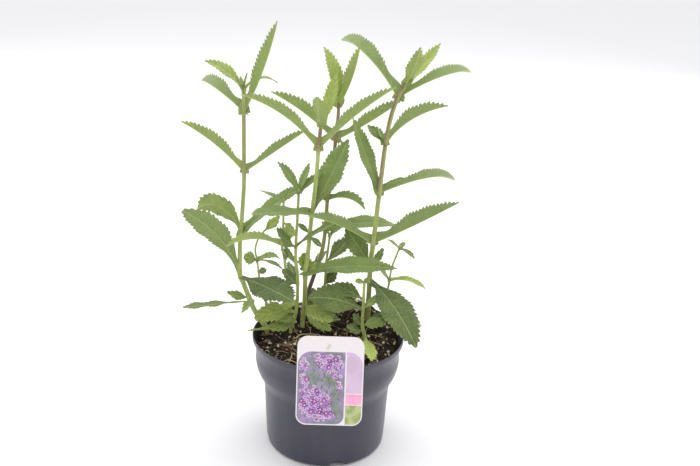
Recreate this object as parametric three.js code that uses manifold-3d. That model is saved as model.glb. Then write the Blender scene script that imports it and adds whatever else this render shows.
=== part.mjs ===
// Potted verbena: a young purpletop vervain in a round nursery pot with a plain picture label.
// Millimetres, +Z up. The origin is the middle of the pot's underside, which stands on the ground.
// The label leans on the front lip, towards -Y.
import * as THREE from "three";
import { mergeVertices } from "three/addons/utils/BufferGeometryUtils.js";
import Module from "manifold-3d";

const wasm = await Module();
wasm.setup();

// Pot: its lip, its wall, and the outside of the wall as [radius, height] from the foot up to the lip
const potHeight = 133;
const lipRadius = 85;
const lipBand = 5;
const lipRounding = 0.7;
const potWall = 1.5;
const potSides = 36;
const potSide = [
  [62.5, 0], [65.4, 1], [67.2, 3.4], [67.8, 8], [71, 70], [72.2, 77], [75, 84], [78.2, 90.5], [80.4, 98],
  [81.2, 105], [80.8, 112], [81.6, 119], [83.6, 126],
];

// Cut-outs in the foot, wider at the ground than at their top, which let water out
const drainCount = 4;
const drainWidth = 17;
const drainTopWidth = 11;
const drainHeight = 7.5;
const drainDepth = 12;
const drainHeading = -78;

// Soil: its level at the front, the mound towards the back, the slump at the wall and the bed of each stem
const clearance = 0.3;
const soilLevel = 121;
const soilEdge = 119;
const moundHeight = 19;
const moundFront = -5;
const moundBack = 62;
const slumpWidth = 14;
const slumpFront = 2;
const slumpBack = 6;
const lumpHeight = 0.9;
const lumpPitch = 24;
const bedDepth = 20;
const soilRings = 5;
const holeSides = 8;

// The highest hump of the soil
const hump = { x: 30, y: 62, height: 8, width: 22, depth: 16 };

// Label: a rounded plate that leans back on the lip, and the tongue that holds it in the soil
const labelWidth = 70;
const labelHeight = 96;
const labelCorner = 11;
const labelThick = 1;
const labelLean = 13;
const labelCentreX = 3.3;
const labelTopAboveLip = 36.5;
const labelGap = 0.5;
const tongueWidth = 14;
const tongueTop = 8;
const tongueY = -71;
const tongueFoot = 100;

// Leaves: blade thickness, the thicker midrib, the tip, and the length of edge that one tooth takes
const bladeThick = 0.8;
const midribThick = 1.5;
const tipWidth = 0.8;
const toothPitch = 17;
const toothPeak = 0.35;
const toothValley = 0.65;
const toothLean = 0.4;

// Stems: how much thinner they are at the top, and the growing tip above the last pair of leaves
const stemTaper = 0.25;
const growingTip = 4;
const growingTipWidth = 1.6;

const greenShoot = 0x8fa85c;
const darkShoot = 0x7d8f50;
const lightShoot = 0x9bb863;

// Leaf forms. outline lists [share of the length, share of the half width]. teeth is how far the teeth cut
// in as a share of the half width, toothedFrom is where they begin, and fold is the angle in degrees by
// which each half of the blade is turned up. A keel is a narrow leaf that is folded nearly shut.
const forms = {
  lance: {
    outline: [
      [0, 0.4], [0.04, 0.66], [0.12, 0.66], [0.2, 0.56], [0.32, 0.78], [0.48, 1], [0.68, 0.86], [0.86, 0.46],
      [1, 0],
    ],
    teeth: 0.2,
    toothedFrom: 0.25,
    fold: 12,
  },
  keel: {
    outline: [
      [0, 0.5], [0.05, 0.62], [0.12, 0.58], [0.2, 0.5], [0.32, 0.74], [0.48, 1], [0.68, 0.88], [0.86, 0.5],
      [1, 0],
    ],
    teeth: 0.2,
    toothedFrom: 0.25,
    fold: 50,
  },
  ovate: {
    outline: [[0, 0.14], [0.12, 0.16], [0.24, 0.44], [0.4, 0.88], [0.55, 1], [0.75, 0.8], [0.92, 0.38], [1, 0]],
    teeth: 0.2,
    toothedFrom: 0.24,
    fold: 6,
  },
  spoon: {
    outline: [
      [0, 0.16], [0.18, 0.2], [0.36, 0.5], [0.56, 0.92], [0.72, 1], [0.86, 0.8], [0.95, 0.45], [1, 0.1],
    ],
    teeth: 0.16,
    toothedFrom: 0.33,
    fold: 5,
  },
  bud: {
    outline: [[0, 0.5], [0.4, 1], [0.8, 0.7], [1, 0]],
    teeth: 0,
    toothedFrom: 0,
    fold: 17,
  },
};

// A leaf: at is the height of its node on the stem, heading the way it grows round the stem (0 towards +X,
// 90 towards +Y), rise its slope at the stem, droop and sweep how far it bends down and round over its
// length, and roll how far its left edge is turned up. Angles are in degrees.
const leafOf = (form, spec) => ({ form, droop: 0, sweep: 0, roll: 0, ...spec });
const lance = (spec) => leafOf(forms.lance, spec);
const keel = (spec) => leafOf(forms.keel, spec);
const ovate = (spec) => leafOf(forms.ovate, spec);
const spoon = (spec) => leafOf(forms.spoon, spec);
const bud = (spec) => leafOf(forms.bud, spec);

// The stems, each with the points of its path from the soil up, and its leaves from the lowest up
const stems = [
  {
    name: "stem_left_tall",
    thick: 5.2,
    colour: greenShoot,
    path: [
      [-70, 14, 129], [-85, 22, 148], [-90, 24, 159], [-98, 27, 179], [-102, 28, 189],
      [-102, 28, 219], [-101, 28, 238], [-99, 28, 266], [-97, 27, 307], [-97, 24, 378],
      [-97, 23, 402],
    ],
    leaves: [
      spoon({ at: 158, heading: 170, rise: -10, length: 82, width: 14, droop: 5, roll: 50 }),
      ovate({ at: 160, heading: 290, rise: 32, length: 38, width: 11, droop: 65, sweep: -60, roll: 5 }),
      ovate({ at: 162, heading: 200, rise: 11, length: 27, width: 12, droop: -20, sweep: -5, roll: -30 }),
      ovate({ at: 186, heading: 322, rise: 1, length: 89, width: 40, sweep: -15, roll: 15 }),
      spoon({ at: 189, heading: 212, rise: 75, length: 107, width: 35, droop: 45, sweep: -20, roll: 55 }),
      ovate({ at: 238, heading: 160, rise: 80, length: 74, width: 30, droop: 125, sweep: -15, roll: 75 }),
      lance({ at: 238, heading: 8, rise: 49, length: 102, width: 20, droop: 20, sweep: -15, roll: 25 }),
      keel({ at: 311, heading: 205, rise: 52, length: 96, width: 19, droop: 20, sweep: 10, roll: 35 }),
      keel({ at: 311, heading: 15, rise: 33, length: 84, width: 16, roll: -60 }),
      keel({ at: 378, heading: 355, rise: 63, length: 104, width: 20, droop: -15, roll: -35 }),
      keel({ at: 379, heading: 150, rise: 34, length: 97, width: 23, droop: 50, sweep: -45, roll: 75 }),
      lance({ at: 402, heading: 205, rise: 61, length: 53, width: 15, droop: 45, sweep: -15, roll: -40 }),
      lance({ at: 402, heading: 30, rise: 53, length: 46, width: 7, droop: 95, sweep: 5, roll: 10 }),
      bud({ at: 402, heading: 130, rise: 66, length: 15, width: 5, droop: 5 }),
      bud({ at: 402, heading: 300, rise: 71, length: 22, width: 5, droop: 10, roll: 75 }),
    ],
  },
  {
    name: "stem_middle_tall",
    thick: 5.4,
    colour: greenShoot,
    path: [
      [-30, 24, 133], [-28, 22, 162], [-28, 20, 199], [-26, 19, 215], [-24, 18, 245],
      [-22, 17, 270], [-18, 15, 320], [-17, 15, 343], [-15, 15, 370],
    ],
    leaves: [
      ovate({ at: 147, heading: 325, rise: -20, length: 40, width: 22, droop: -5, roll: 5 }),
      ovate({ at: 155, heading: 310, rise: 16, length: 49, width: 30, droop: 35, roll: 15 }),
      ovate({ at: 195, heading: 20, rise: 69, length: 19, width: 12, droop: 45, sweep: -5, roll: 40 }),
      ovate({ at: 198, heading: 110, rise: 62, length: 22, width: 16, droop: -30, roll: 5 }),
      lance({ at: 199, heading: 352, rise: 17, length: 104, width: 26, droop: 20, roll: 25 }),
      ovate({ at: 203, heading: 40, rise: 11, length: 23, width: 10, droop: 20, sweep: -5, roll: 15 }),
      ovate({ at: 243, heading: 330, rise: -41, length: 19, width: 8, droop: -20, sweep: 5, roll: 20 }),
      ovate({ at: 245, heading: 150, rise: 31, length: 17, width: 8, droop: 5, roll: -20 }),
      ovate({ at: 270, heading: 28, rise: 62, length: 89, width: 34, roll: 15 }),
      lance({ at: 270, heading: 216, rise: 14, length: 104, width: 20, sweep: 35, roll: -20 }),
      keel({ at: 343, heading: 184, rise: 54, length: 105, width: 19, droop: 35, sweep: 20, roll: 45 }),
      keel({ at: 343, heading: 356, rise: 50, length: 107, width: 19, droop: 15, sweep: -5, roll: -45 }),
      lance({ at: 369, heading: 265, rise: 40, length: 74, width: 18, droop: 5, sweep: 5, roll: -30 }),
      lance({ at: 370, heading: 35, rise: 64, length: 58, width: 16, droop: -15, sweep: -5, roll: 25 }),
    ],
  },
  {
    name: "stem_woody",
    thick: 4.8,
    colour: darkShoot,
    path: [
      [-31, 40, 138], [-28, 41, 153], [-21, 43, 176], [-14, 45, 200], [-9, 46, 221], [-7, 47, 245],
      [-6, 48, 274], [0, 50, 330], [1, 50, 344], [3, 50, 377], [3, 50, 384],
    ],
    leaves: [
      ovate({ at: 138, heading: 335, rise: -5, length: 49, width: 14, droop: -15, roll: 15 }),
      ovate({ at: 138, heading: 40, rise: 57, length: 31, width: 14, roll: 20 }),
      lance({ at: 241, heading: 6, rise: 14, length: 97, width: 20, droop: 40, sweep: 40, roll: 25 }),
      keel({ at: 274, heading: 350, rise: 34, length: 48, width: 16, droop: 80, sweep: -15, roll: -60 }),
      ovate({ at: 274, heading: 160, rise: 37, length: 19, width: 9, droop: -30, roll: -20 }),
      keel({ at: 343, heading: 172, rise: 45, length: 88, width: 22, droop: 20, sweep: 5, roll: 55 }),
      keel({ at: 344, heading: 12, rise: 25, length: 89, width: 20, droop: -15, sweep: -10, roll: -60 }),
      keel({ at: 383, heading: 320, rise: 56, length: 74, width: 18, droop: -25, sweep: -5, roll: -5 }),
      lance({ at: 384, heading: 140, rise: 90, length: 64, width: 16, droop: 40, sweep: 10, roll: -30 }),
    ],
  },
  {
    name: "stem_right_tall",
    thick: 5.8,
    colour: greenShoot,
    path: [
      [45, 36, 138], [45, 35, 184], [45, 35, 201], [47, 34, 229], [51, 33, 290], [55, 32, 347],
      [59, 31, 376], [65, 30, 398], [73, 30, 413],
    ],
    leaves: [
      ovate({ at: 134, heading: 320, rise: 32, length: 26, width: 18, droop: 55, roll: 35 }),
      ovate({ at: 158, heading: 30, rise: 2, length: 19, width: 8, droop: -35, sweep: 10, roll: 5 }),
      lance({ at: 180, heading: 330, rise: -18, length: 78, width: 10, droop: 15, sweep: -5, roll: 5 }),
      ovate({ at: 185, heading: 305, rise: -10, length: 105, width: 38, droop: 30, sweep: -5, roll: 10 }),
      ovate({ at: 201, heading: 40, rise: 29, length: 26, width: 9, droop: -25, sweep: 5, roll: 30 }),
      ovate({ at: 204, heading: 150, rise: 45, length: 49, width: 26, droop: -5, roll: -30 }),
      keel({ at: 229, heading: 178, rise: 35, length: 98, width: 20, droop: 15, sweep: 60, roll: 50 }),
      keel({ at: 230, heading: 335, rise: 32, length: 117, width: 27, droop: -5, roll: -45 }),
      lance({ at: 290, heading: 168, rise: 68, length: 89, width: 20, roll: -35 }),
      keel({ at: 290, heading: 20, rise: 20, length: 135, width: 19, droop: 50, sweep: 45, roll: -60 }),
      ovate({ at: 293, heading: 330, rise: 43, length: 37, width: 9, droop: 20, sweep: -5, roll: 45 }),
      keel({ at: 347, heading: 325, rise: 57, length: 89, width: 22, droop: 40, sweep: 10, roll: -40 }),
      lance({ at: 347, heading: 140, rise: 35, length: 30, width: 15, droop: 10, roll: -10 }),
      bud({ at: 347, heading: 130, rise: 41, length: 19, width: 7, droop: -5, roll: -5 }),
      keel({ at: 398, heading: 150, rise: 57, length: 133, width: 25, droop: 75, sweep: -50, roll: 80 }),
      keel({ at: 398, heading: 15, rise: 32, length: 121, width: 19, droop: 50, sweep: 50, roll: -65 }),
      lance({ at: 413, heading: 300, rise: 52, length: 49, width: 17, droop: -20, roll: -5 }),
      lance({ at: 413, heading: 20, rise: 46, length: 56, width: 15, droop: -5, roll: 25 }),
    ],
  },
  {
    name: "stem_thin_left",
    thick: 3.0,
    colour: darkShoot,
    path: [
      [-43, 30, 135], [-45, 24, 161], [-50, 15, 204], [-52, 13, 221], [-54, 12, 232],
      [-53, 12, 260], [-53, 12, 284],
    ],
    leaves: [
      ovate({ at: 212, heading: 160, rise: 123, length: 18, width: 8, droop: 100, sweep: 15, roll: -35 }),
      keel({ at: 232, heading: 182, rise: 31, length: 64, width: 16, droop: 60, sweep: 15, roll: 60 }),
      ovate({ at: 232, heading: 60, rise: 27, length: 28, width: 16, droop: -50, sweep: 15, roll: -10 }),
      ovate({ at: 260, heading: 330, rise: -22, length: 20, width: 11, droop: 40, sweep: -5, roll: 10 }),
      lance({ at: 284, heading: 165, rise: 28, length: 29, width: 6, droop: 20, roll: -10 }),
      bud({ at: 284, heading: 345, rise: 51, length: 16, width: 5, droop: -20, roll: 65 }),
    ],
  },
  {
    name: "stem_wisp",
    thick: 2.4,
    colour: darkShoot,
    path: [
      [-64, 34, 137], [-78, 38, 163], [-84, 44, 200], [-86, 44, 213], [-83, 44, 226],
      [-77, 44, 235],
    ],
    leaves: [
      ovate({ at: 184, heading: 10, rise: 63, length: 10, width: 12, droop: 80, sweep: -10, roll: 25 }),
      ovate({ at: 200, heading: 190, rise: 18, length: 16, width: 18, droop: -5, roll: -40 }),
      lance({ at: 200, heading: 20, rise: 35, length: 31, width: 10, droop: 80, sweep: 15, roll: 20 }),
      lance({ at: 200, heading: 340, rise: 16, length: 36, width: 6, droop: 50, sweep: -10, roll: 5 }),
      ovate({ at: 235, heading: 30, rise: 32, length: 26, width: 12, droop: -15, roll: 25 }),
    ],
  },
  {
    name: "stem_short_left",
    thick: 3.8,
    colour: greenShoot,
    path: [
      [-43, 14, 129], [-39, 14, 143], [-36, 14, 166], [-36, 14, 191], [-39, 15, 218],
      [-39, 16, 229], [-38, 16, 261], [-37, 16, 294],
    ],
    leaves: [
      ovate({ at: 138, heading: 225, rise: 4, length: 33, width: 15, droop: 5, roll: -30 }),
      ovate({ at: 143, heading: 215, rise: 27, length: 24, width: 16, droop: 35, sweep: 5, roll: -30 }),
      lance({ at: 144, heading: 209, rise: -22, length: 56, width: 9, droop: -25, sweep: -20 }),
      ovate({ at: 151, heading: 190, rise: 14, length: 48, width: 26, droop: 40, sweep: 10, roll: -30 }),
      ovate({ at: 166, heading: 230, rise: 11, length: 27, width: 14, droop: 30, sweep: 15, roll: -10 }),
      ovate({ at: 184, heading: 215, rise: 48, length: 31, width: 15, roll: -60 }),
      ovate({ at: 187, heading: 110, rise: 11, length: 43, width: 11, sweep: -5, roll: 10 }),
      ovate({ at: 208, heading: 150, rise: 51, length: 25, width: 8, roll: -15 }),
      ovate({ at: 229, heading: 222, rise: 34, length: 40, width: 18, droop: -25, roll: -50 }),
      lance({ at: 229, heading: 325, rise: 50, length: 59, width: 9, droop: 25, sweep: 30, roll: 30 }),
      lance({ at: 294, heading: 170, rise: 63, length: 40, width: 14, droop: 20, roll: -25 }),
      lance({ at: 294, heading: 60, rise: 48, length: 34, width: 12, droop: -10, roll: -15 }),
      lance({ at: 294, heading: 35, rise: 32, length: 33, width: 11, roll: 10 }),
    ],
  },
  {
    name: "stem_short_back",
    thick: 3.2,
    colour: darkShoot,
    path: [
      [-7, 66, 144], [-6, 66, 162], [-5, 66, 191], [-3, 66, 213], [-2, 66, 224],
    ],
    leaves: [
      ovate({ at: 162, heading: 10, rise: 60, length: 21, width: 14, droop: 20, roll: 60 }),
      ovate({ at: 191, heading: 20, rise: 44, length: 41, width: 22, droop: -5, roll: -75 }),
      ovate({ at: 206, heading: 200, rise: -33, length: 20, width: 12, droop: 20, roll: -20 }),
      ovate({ at: 224, heading: 160, rise: 62, length: 19, width: 8, droop: 10, roll: -15 }),
      lance({ at: 224, heading: 10, rise: 59, length: 19, width: 10, droop: 40, sweep: -5, roll: 20 }),
    ],
  },
  {
    name: "stem_short_right",
    thick: 2.6,
    colour: darkShoot,
    path: [
      [62, 34, 138], [65, 36, 162], [68, 37, 184], [69, 37, 196], [74, 37, 214], [77, 37, 223],
    ],
    leaves: [
      lance({ at: 183, heading: 350, rise: 28, length: 45, width: 10, droop: 65, sweep: -15, roll: 10 }),
      lance({ at: 183, heading: 170, rise: 52, length: 19, width: 7, roll: -20 }),
      lance({ at: 223, heading: 170, rise: 52, length: 17, width: 5, droop: 35, sweep: 5, roll: -20 }),
      lance({ at: 223, heading: 340, rise: 1, length: 21, width: 6, droop: 50, sweep: -10, roll: 20 }),
      bud({ at: 223, heading: 60, rise: 17, length: 14, width: 6, droop: 10, roll: 15 }),
    ],
  },
  {
    name: "stem_front",
    thick: 3.8,
    colour: lightShoot,
    path: [
      [42, 4, 126], [38, 5, 142], [38, 5, 160], [38, 5, 185], [38, 5, 192],
    ],
    leaves: [
      ovate({ at: 128, heading: 277, rise: 5, length: 69, width: 17, sweep: -5, roll: -15 }),
      ovate({ at: 134, heading: 210, rise: 18, length: 24, width: 14, droop: -15, roll: -35 }),
      ovate({ at: 139, heading: 150, rise: 40, length: 18, width: 12, droop: -15, roll: -20 }),
      ovate({ at: 140, heading: 350, rise: 42, length: 26, width: 18, droop: 60, sweep: -10, roll: 25 }),
      ovate({ at: 160, heading: 185, rise: 34, length: 65, width: 36, droop: 40, roll: -35 }),
      ovate({ at: 160, heading: 20, rise: 53, length: 24, width: 12, droop: 35, sweep: -5, roll: 10 }),
      ovate({ at: 173, heading: 150, rise: 18, length: 39, width: 20, droop: 5, roll: -20 }),
      ovate({ at: 192, heading: 190, rise: 64, length: 13, width: 8, droop: 85, sweep: 30, roll: -25 }),
      ovate({ at: 192, heading: 10, rise: 97, length: 9, width: 8, droop: 145, sweep: -20, roll: 20 }),
    ],
  },
];

const radians = THREE.MathUtils.degToRad;
const { smoothstep } = THREE.MathUtils;

// A closed geometry as a solid that can be joined and cut.
function solidOf(geometry) {
  const bare = geometry.index ? geometry.toNonIndexed() : geometry.clone();
  bare.deleteAttribute("normal");
  bare.deleteAttribute("uv");
  const merged = mergeVertices(bare, 1e-4);
  return new wasm.Manifold(
    new wasm.Mesh({
      numProp: 3,
      vertProperties: merged.attributes.position.array,
      triVerts: new Uint32Array(merged.index.array),
    }),
  );
}

// A solid as a named mesh with its own material.
function meshOf(name, solid, material) {
  const made = solid.getMesh();
  const geometry = new THREE.BufferGeometry();
  geometry.setAttribute("position", new THREE.BufferAttribute(made.vertProperties, 3));
  geometry.setIndex(new THREE.BufferAttribute(made.triVerts, 1));
  geometry.computeVertexNormals();
  const mesh = new THREE.Mesh(geometry, material);
  mesh.name = name;
  return mesh;
}

// A closed geometry from its points and its triangles.
function geometryOf(points, triangles) {
  const geometry = new THREE.BufferGeometry();
  geometry.setAttribute("position", new THREE.Float32BufferAttribute(points.flatMap((p) => p.toArray()), 3));
  geometry.setIndex(triangles);
  return geometry;
}

// The pot's wall moved in by inset, with a floor as thick as the inset.
function wallInside(inset) {
  return potSide.map(([radius, height]) => [radius - inset, Math.max(height, inset)]).slice(1);
}

// A solid of revolution about Z from a profile of [radius, height] that starts and ends on the axis.
function turned(profile) {
  const points = profile.map(([radius, height]) => new THREE.Vector2(radius, height));
  return new THREE.LatheGeometry(points, potSides).rotateX(Math.PI / 2);
}

// The pot: a thin shell with a lip, and cut-outs through the foot.
function makePot() {
  const lip = [
    [lipRadius - lipRounding, potHeight - lipBand],
    [lipRadius, potHeight - lipBand + lipRounding],
    [lipRadius, potHeight - lipRounding],
    [lipRadius - lipRounding, potHeight],
    [lipRadius - potWall, potHeight],
  ];
  let pot = solidOf(turned([[0, 0], ...potSide, ...lip, ...wallInside(potWall).reverse(), [0, potWall]]));
  for (const drain of drainSolids(0)) {
    pot = pot.subtract(drain);
  }
  return pot;
}

// The cut-outs in the foot, as solids grown by margin all round.
function drainSolids(margin) {
  const foot = drainWidth / 2 + margin;
  const top = drainTopWidth / 2 + margin;
  const shape = new THREE.Shape([
    new THREE.Vector2(-foot, -drainHeight),
    new THREE.Vector2(foot, -drainHeight),
    new THREE.Vector2(foot, 0),
    new THREE.Vector2(top, drainHeight + margin),
    new THREE.Vector2(-top, drainHeight + margin),
    new THREE.Vector2(-foot, 0),
  ]);
  const depth = 2 * (drainDepth + margin);
  return Array.from({ length: drainCount }, (_, i) => {
    const slot = new THREE.ExtrudeGeometry(shape, { depth, bevelEnabled: false });
    slot.translate(0, 0, -depth / 2).rotateX(Math.PI / 2).rotateZ(Math.PI / 2);
    slot.translate(potSide[2][0], 0, 0).rotateZ(radians(drainHeading + (i * 360) / drainCount));
    return solidOf(slot);
  });
}

// The outside radius of the soil where its surface meets the wall.
function soilRadius() {
  return wallInside(potWall + clearance).find(([, height]) => height === soilEdge)[0];
}

// The height of the soil: level at the front, mounded towards the back, lower at the wall, with low lumps.
function soilHeight(x, y) {
  const edge = soilRadius();
  const back = smoothstep(y, moundFront, moundBack);
  const slump = (slumpFront + (slumpBack - slumpFront) * back)
    * smoothstep(Math.hypot(x, y), edge - slumpWidth, edge);
  const peak = hump.height * Math.exp(-(((x - hump.x) / hump.width) ** 2) - ((y - hump.y) / hump.depth) ** 2);
  const wave = (2 * Math.PI) / lumpPitch;
  const lumps = lumpHeight * Math.sin(wave * (x + 0.4 * y)) * Math.cos(wave * (y - 0.3 * x));
  return soilLevel + moundHeight * back + peak + lumps - slump;
}

// The soil: it fills the pot down to the cut-outs in the foot, and has a plain hole for each stem and a slot
// for the label's tongue.
function makeSoil() {
  const inset = potWall + clearance;
  const side = wallInside(inset).filter(([, height]) => height < soilEdge);
  const cover = [];
  for (let i = 0; i < soilRings; i += 1) {
    cover.push([soilRadius() * (1 - i / soilRings), soilEdge]);
  }
  const geometry = turned([[0, inset], ...side, ...cover, [0, soilEdge]]);
  const place = geometry.attributes.position;
  for (let i = 0; i < place.count; i += 1) {
    if (place.getZ(i) > soilEdge - clearance) {
      place.setZ(i, soilHeight(place.getX(i), place.getY(i)));
    }
  }
  let soil = solidOf(geometry);
  for (const stem of stems) {
    const [x, y, z] = stem.path[0];
    const radius = ((stem.thick / 2) * Math.SQRT2 + clearance) / Math.cos(Math.PI / holeSides);
    const drill = new THREE.CylinderGeometry(radius, radius, 2 * (z - footOf(stem) + clearance), holeSides);
    soil = soil.subtract(solidOf(drill.rotateX(Math.PI / 2).translate(x, y, z)));
  }
  for (const drain of drainSolids(clearance)) {
    soil = soil.subtract(drain);
  }
  return soil.subtract(solidOf(tongueGeometry(clearance)));
}

// The height of the buried foot of a stem.
function footOf(stem) {
  return stem.path[0][2] - bedDepth;
}

// The label's tongue, a bent strip that goes from the plate over the lip and down, grown by margin all round.
function tongueGeometry(margin) {
  const half = labelThick / 2 + margin;
  const wide = tongueWidth / 2 + margin;
  const bend = potHeight + tongueTop;
  const plateY = labelGap * -1 - lipRadius + Math.tan(radians(labelLean)) * tongueTop;
  const shape = new THREE.Shape([
    new THREE.Vector2(plateY + 0.4, bend - half),
    new THREE.Vector2(tongueY - 6, bend - 1.6 - half),
    new THREE.Vector2(tongueY - half, bend - 9),
    new THREE.Vector2(tongueY - half, tongueFoot - margin),
    new THREE.Vector2(tongueY + half, tongueFoot - margin),
    new THREE.Vector2(tongueY + half, bend - 8),
    new THREE.Vector2(tongueY - 5.4, bend - 0.4 + half),
    new THREE.Vector2(plateY - 0.4, bend + half),
  ]);
  const strip = new THREE.ExtrudeGeometry(shape, { depth: 2 * wide, bevelEnabled: false });
  const frame = new THREE.Matrix4().makeBasis(
    new THREE.Vector3(0, 1, 0),
    new THREE.Vector3(0, 0, 1),
    new THREE.Vector3(1, 0, 0),
  );
  return strip.applyMatrix4(frame).translate(labelCentreX - wide, 0, 0);
}

// The label: a rounded plate that leans back on the lip, joined to its tongue.
function makeLabel() {
  const w = labelWidth / 2;
  const top = labelTopAboveLip;
  const bottom = labelTopAboveLip - labelHeight;
  const r = labelCorner;
  const shape = new THREE.Shape();
  shape.absarc(w - r, top - r, r, 0, Math.PI / 2, false);
  shape.absarc(-w + r, top - r, r, Math.PI / 2, Math.PI, false);
  shape.absarc(-w + r, bottom + r, r, Math.PI, 1.5 * Math.PI, false);
  shape.absarc(w - r, bottom + r, r, 1.5 * Math.PI, 2 * Math.PI, false);
  const options = { depth: labelThick, bevelEnabled: false, curveSegments: 6 };
  const plate = new THREE.ExtrudeGeometry(shape, options);
  plate.rotateX(Math.PI / 2 - radians(labelLean));
  plate.translate(labelCentreX, -lipRadius - labelGap, potHeight);
  return solidOf(plate).add(solidOf(tongueGeometry(0)));
}

// The point on a stem's axis at a height.
function stemPoint(stem, height) {
  const { path } = stem;
  const next = path.findIndex(([, , z]) => z >= height);
  if (next < 1) {
    return new THREE.Vector3(...path[next < 0 ? path.length - 1 : 0]);
  }
  const low = new THREE.Vector3(...path[next - 1]);
  const high = new THREE.Vector3(...path[next]);
  return low.clone().lerp(high, (height - low.z) / (high.z - low.z));
}

// A square stem along its path, thinner towards its top, with its foot upright in the soil.
function stemGeometry(stem) {
  const foot = new THREE.Vector3(stem.path[0][0], stem.path[0][1], footOf(stem));
  const path = [foot, ...stem.path.map((p) => new THREE.Vector3(...p))];
  const top = path[path.length - 1];
  path.push(top.clone().add(top.clone().sub(path[path.length - 2]).setLength(growingTip)));
  const end = path.length - 1;
  const points = [];
  const triangles = [];
  path.forEach((point, i) => {
    const along = path[Math.min(i + 1, end)].clone().sub(path[Math.max(i - 1, 0)]).normalize();
    if (i < 2) {
      along.set(0, 0, 1);
    }
    const side = new THREE.Vector3(0, 1, 0).projectOnPlane(along).normalize();
    const across = side.clone().cross(along);
    const half = i === end ? growingTipWidth / 2 : (stem.thick / 2) * (1 - (stemTaper * i) / end);
    for (const [a, b] of [[1, 1], [-1, 1], [-1, -1], [1, -1]]) {
      points.push(point.clone().addScaledVector(across, a * half).addScaledVector(side, b * half));
    }
  });
  const last = end * 4;
  for (let ring = 0; ring < last; ring += 4) {
    for (let i = 0; i < 4; i += 1) {
      const j = (i + 1) % 4;
      triangles.push(ring + i, ring + j, ring + 4 + j, ring + i, ring + 4 + j, ring + 4 + i);
    }
  }
  triangles.push(0, 2, 1, 0, 3, 2, last, last + 1, last + 2, last, last + 2, last + 3);
  return geometryOf(points, triangles);
}

// The half width of a leaf at a share of its length, without its teeth, as a share of the full half width.
function outlineAt(form, share) {
  const { outline } = form;
  const next = Math.max(1, outline.findIndex(([s]) => s >= share));
  const [s0, w0] = outline[next - 1];
  const [s1, w1] = outline[next];
  return THREE.MathUtils.lerp(w0, w1, (share - s0) / (s1 - s0));
}

// The stations along a leaf: a few up to the first tooth, then a valley and a peak for each tooth.
function stationsOf(leaf) {
  const { toothedFrom, teeth } = leaf.form;
  const count = Math.max(1, Math.round((leaf.length * (1 - toothedFrom)) / toothPitch));
  const stations = toothedFrom > 0 ? [0, toothedFrom / 2].map((share) => ({ share, cut: 0 })) : [];
  for (let i = 0; i <= 2 * count; i += 1) {
    const share = toothedFrom + ((1 - toothedFrom) * i) / (2 * count);
    const peak = i % 2 === 1;
    const plain = i === 0 || i === 2 * count || teeth === 0;
    const cut = plain ? 0 : teeth * (peak ? toothPeak : -toothValley);
    stations.push({ share, cut, peak: peak && !plain });
  }
  return stations;
}

// The direction of a leaf's midrib at a share of its length.
function leafDirection(leaf, share) {
  const heading = radians(leaf.heading + leaf.sweep * share);
  const rise = radians(leaf.rise - leaf.droop * share);
  return new THREE.Vector3(
    Math.cos(rise) * Math.cos(heading),
    Math.cos(rise) * Math.sin(heading),
    Math.sin(rise),
  );
}

// A leaf: a thin folded blade along a bending midrib, with teeth cut in its two edges.
function leafGeometry(stem, leaf) {
  const { form } = leaf;
  const stations = stationsOf(leaf);
  const point = stemPoint(stem, leaf.at);
  const points = [];
  const triangles = [];
  stations.forEach(({ share, cut, peak }, i) => {
    const next = i + 1 < stations.length ? stations[i + 1].share : share;
    const heading = radians(leaf.heading + leaf.sweep * share);
    const along = leafDirection(leaf, share);
    const left = new THREE.Vector3(-Math.sin(heading), Math.cos(heading), 0)
      .applyAxisAngle(along, radians(leaf.roll));
    const face = along.clone().cross(left);
    const half = Math.max(tipWidth / 2, (leaf.width / 2) * (outlineAt(form, share) + cut));
    const turn = radians(form.fold);
    const forward = peak ? toothLean * leaf.length * (next - share) : 0;
    for (const layer of [0.5, -0.5]) {
      for (const edge of [1, 0, -1]) {
        const thick = edge === 0 ? midribThick : bladeThick / Math.cos(turn);
        points.push(point.clone()
          .addScaledVector(left, edge * half * Math.cos(turn))
          .addScaledVector(along, Math.abs(edge) * forward)
          .addScaledVector(face, Math.abs(edge) * half * Math.sin(turn) + layer * thick));
      }
    }
    point.addScaledVector(leafDirection(leaf, (share + next) / 2), leaf.length * (next - share));
  });
  const end = (stations.length - 1) * 6;
  for (let a = 0; a < end; a += 6) {
    const b = a + 6;
    for (const j of [0, 1]) {
      triangles.push(a + j, a + j + 1, b + j + 1, a + j, b + j + 1, b + j);
      triangles.push(a + 3 + j, b + 4 + j, a + 4 + j, a + 3 + j, b + 3 + j, b + 4 + j);
    }
    triangles.push(a, b, b + 3, a, b + 3, a + 3);
    triangles.push(a + 2, a + 5, b + 5, a + 2, b + 5, b + 2);
  }
  for (const j of [0, 1]) {
    triangles.push(j, j + 4, j + 1, j, j + 3, j + 4);
    triangles.push(end + j, end + j + 1, end + j + 4, end + j, end + j + 4, end + j + 3);
  }
  return geometryOf(points, triangles);
}

// A stem with its leaves, joined in one solid.
function makeStem(stem) {
  return stem.leaves.reduce(
    (whole, leaf) => whole.add(solidOf(leafGeometry(stem, leaf))),
    solidOf(stemGeometry(stem)),
  );
}

const plastic = (color) => new THREE.MeshStandardMaterial({ color, roughness: 0.5, metalness: 0 });
const matt = (color) => new THREE.MeshStandardMaterial({ color, roughness: 0.9, metalness: 0 });

const verbena = new THREE.Group();
verbena.add(meshOf("pot", makePot(), plastic(0x50505c)));
verbena.add(meshOf("soil", makeSoil(), matt(0x2c2220)));
verbena.add(meshOf("label", makeLabel(), plastic(0xe4dcea)));
for (const stem of stems) {
  verbena.add(meshOf(stem.name, makeStem(stem), matt(stem.colour)));
}

export default verbena;
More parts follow.
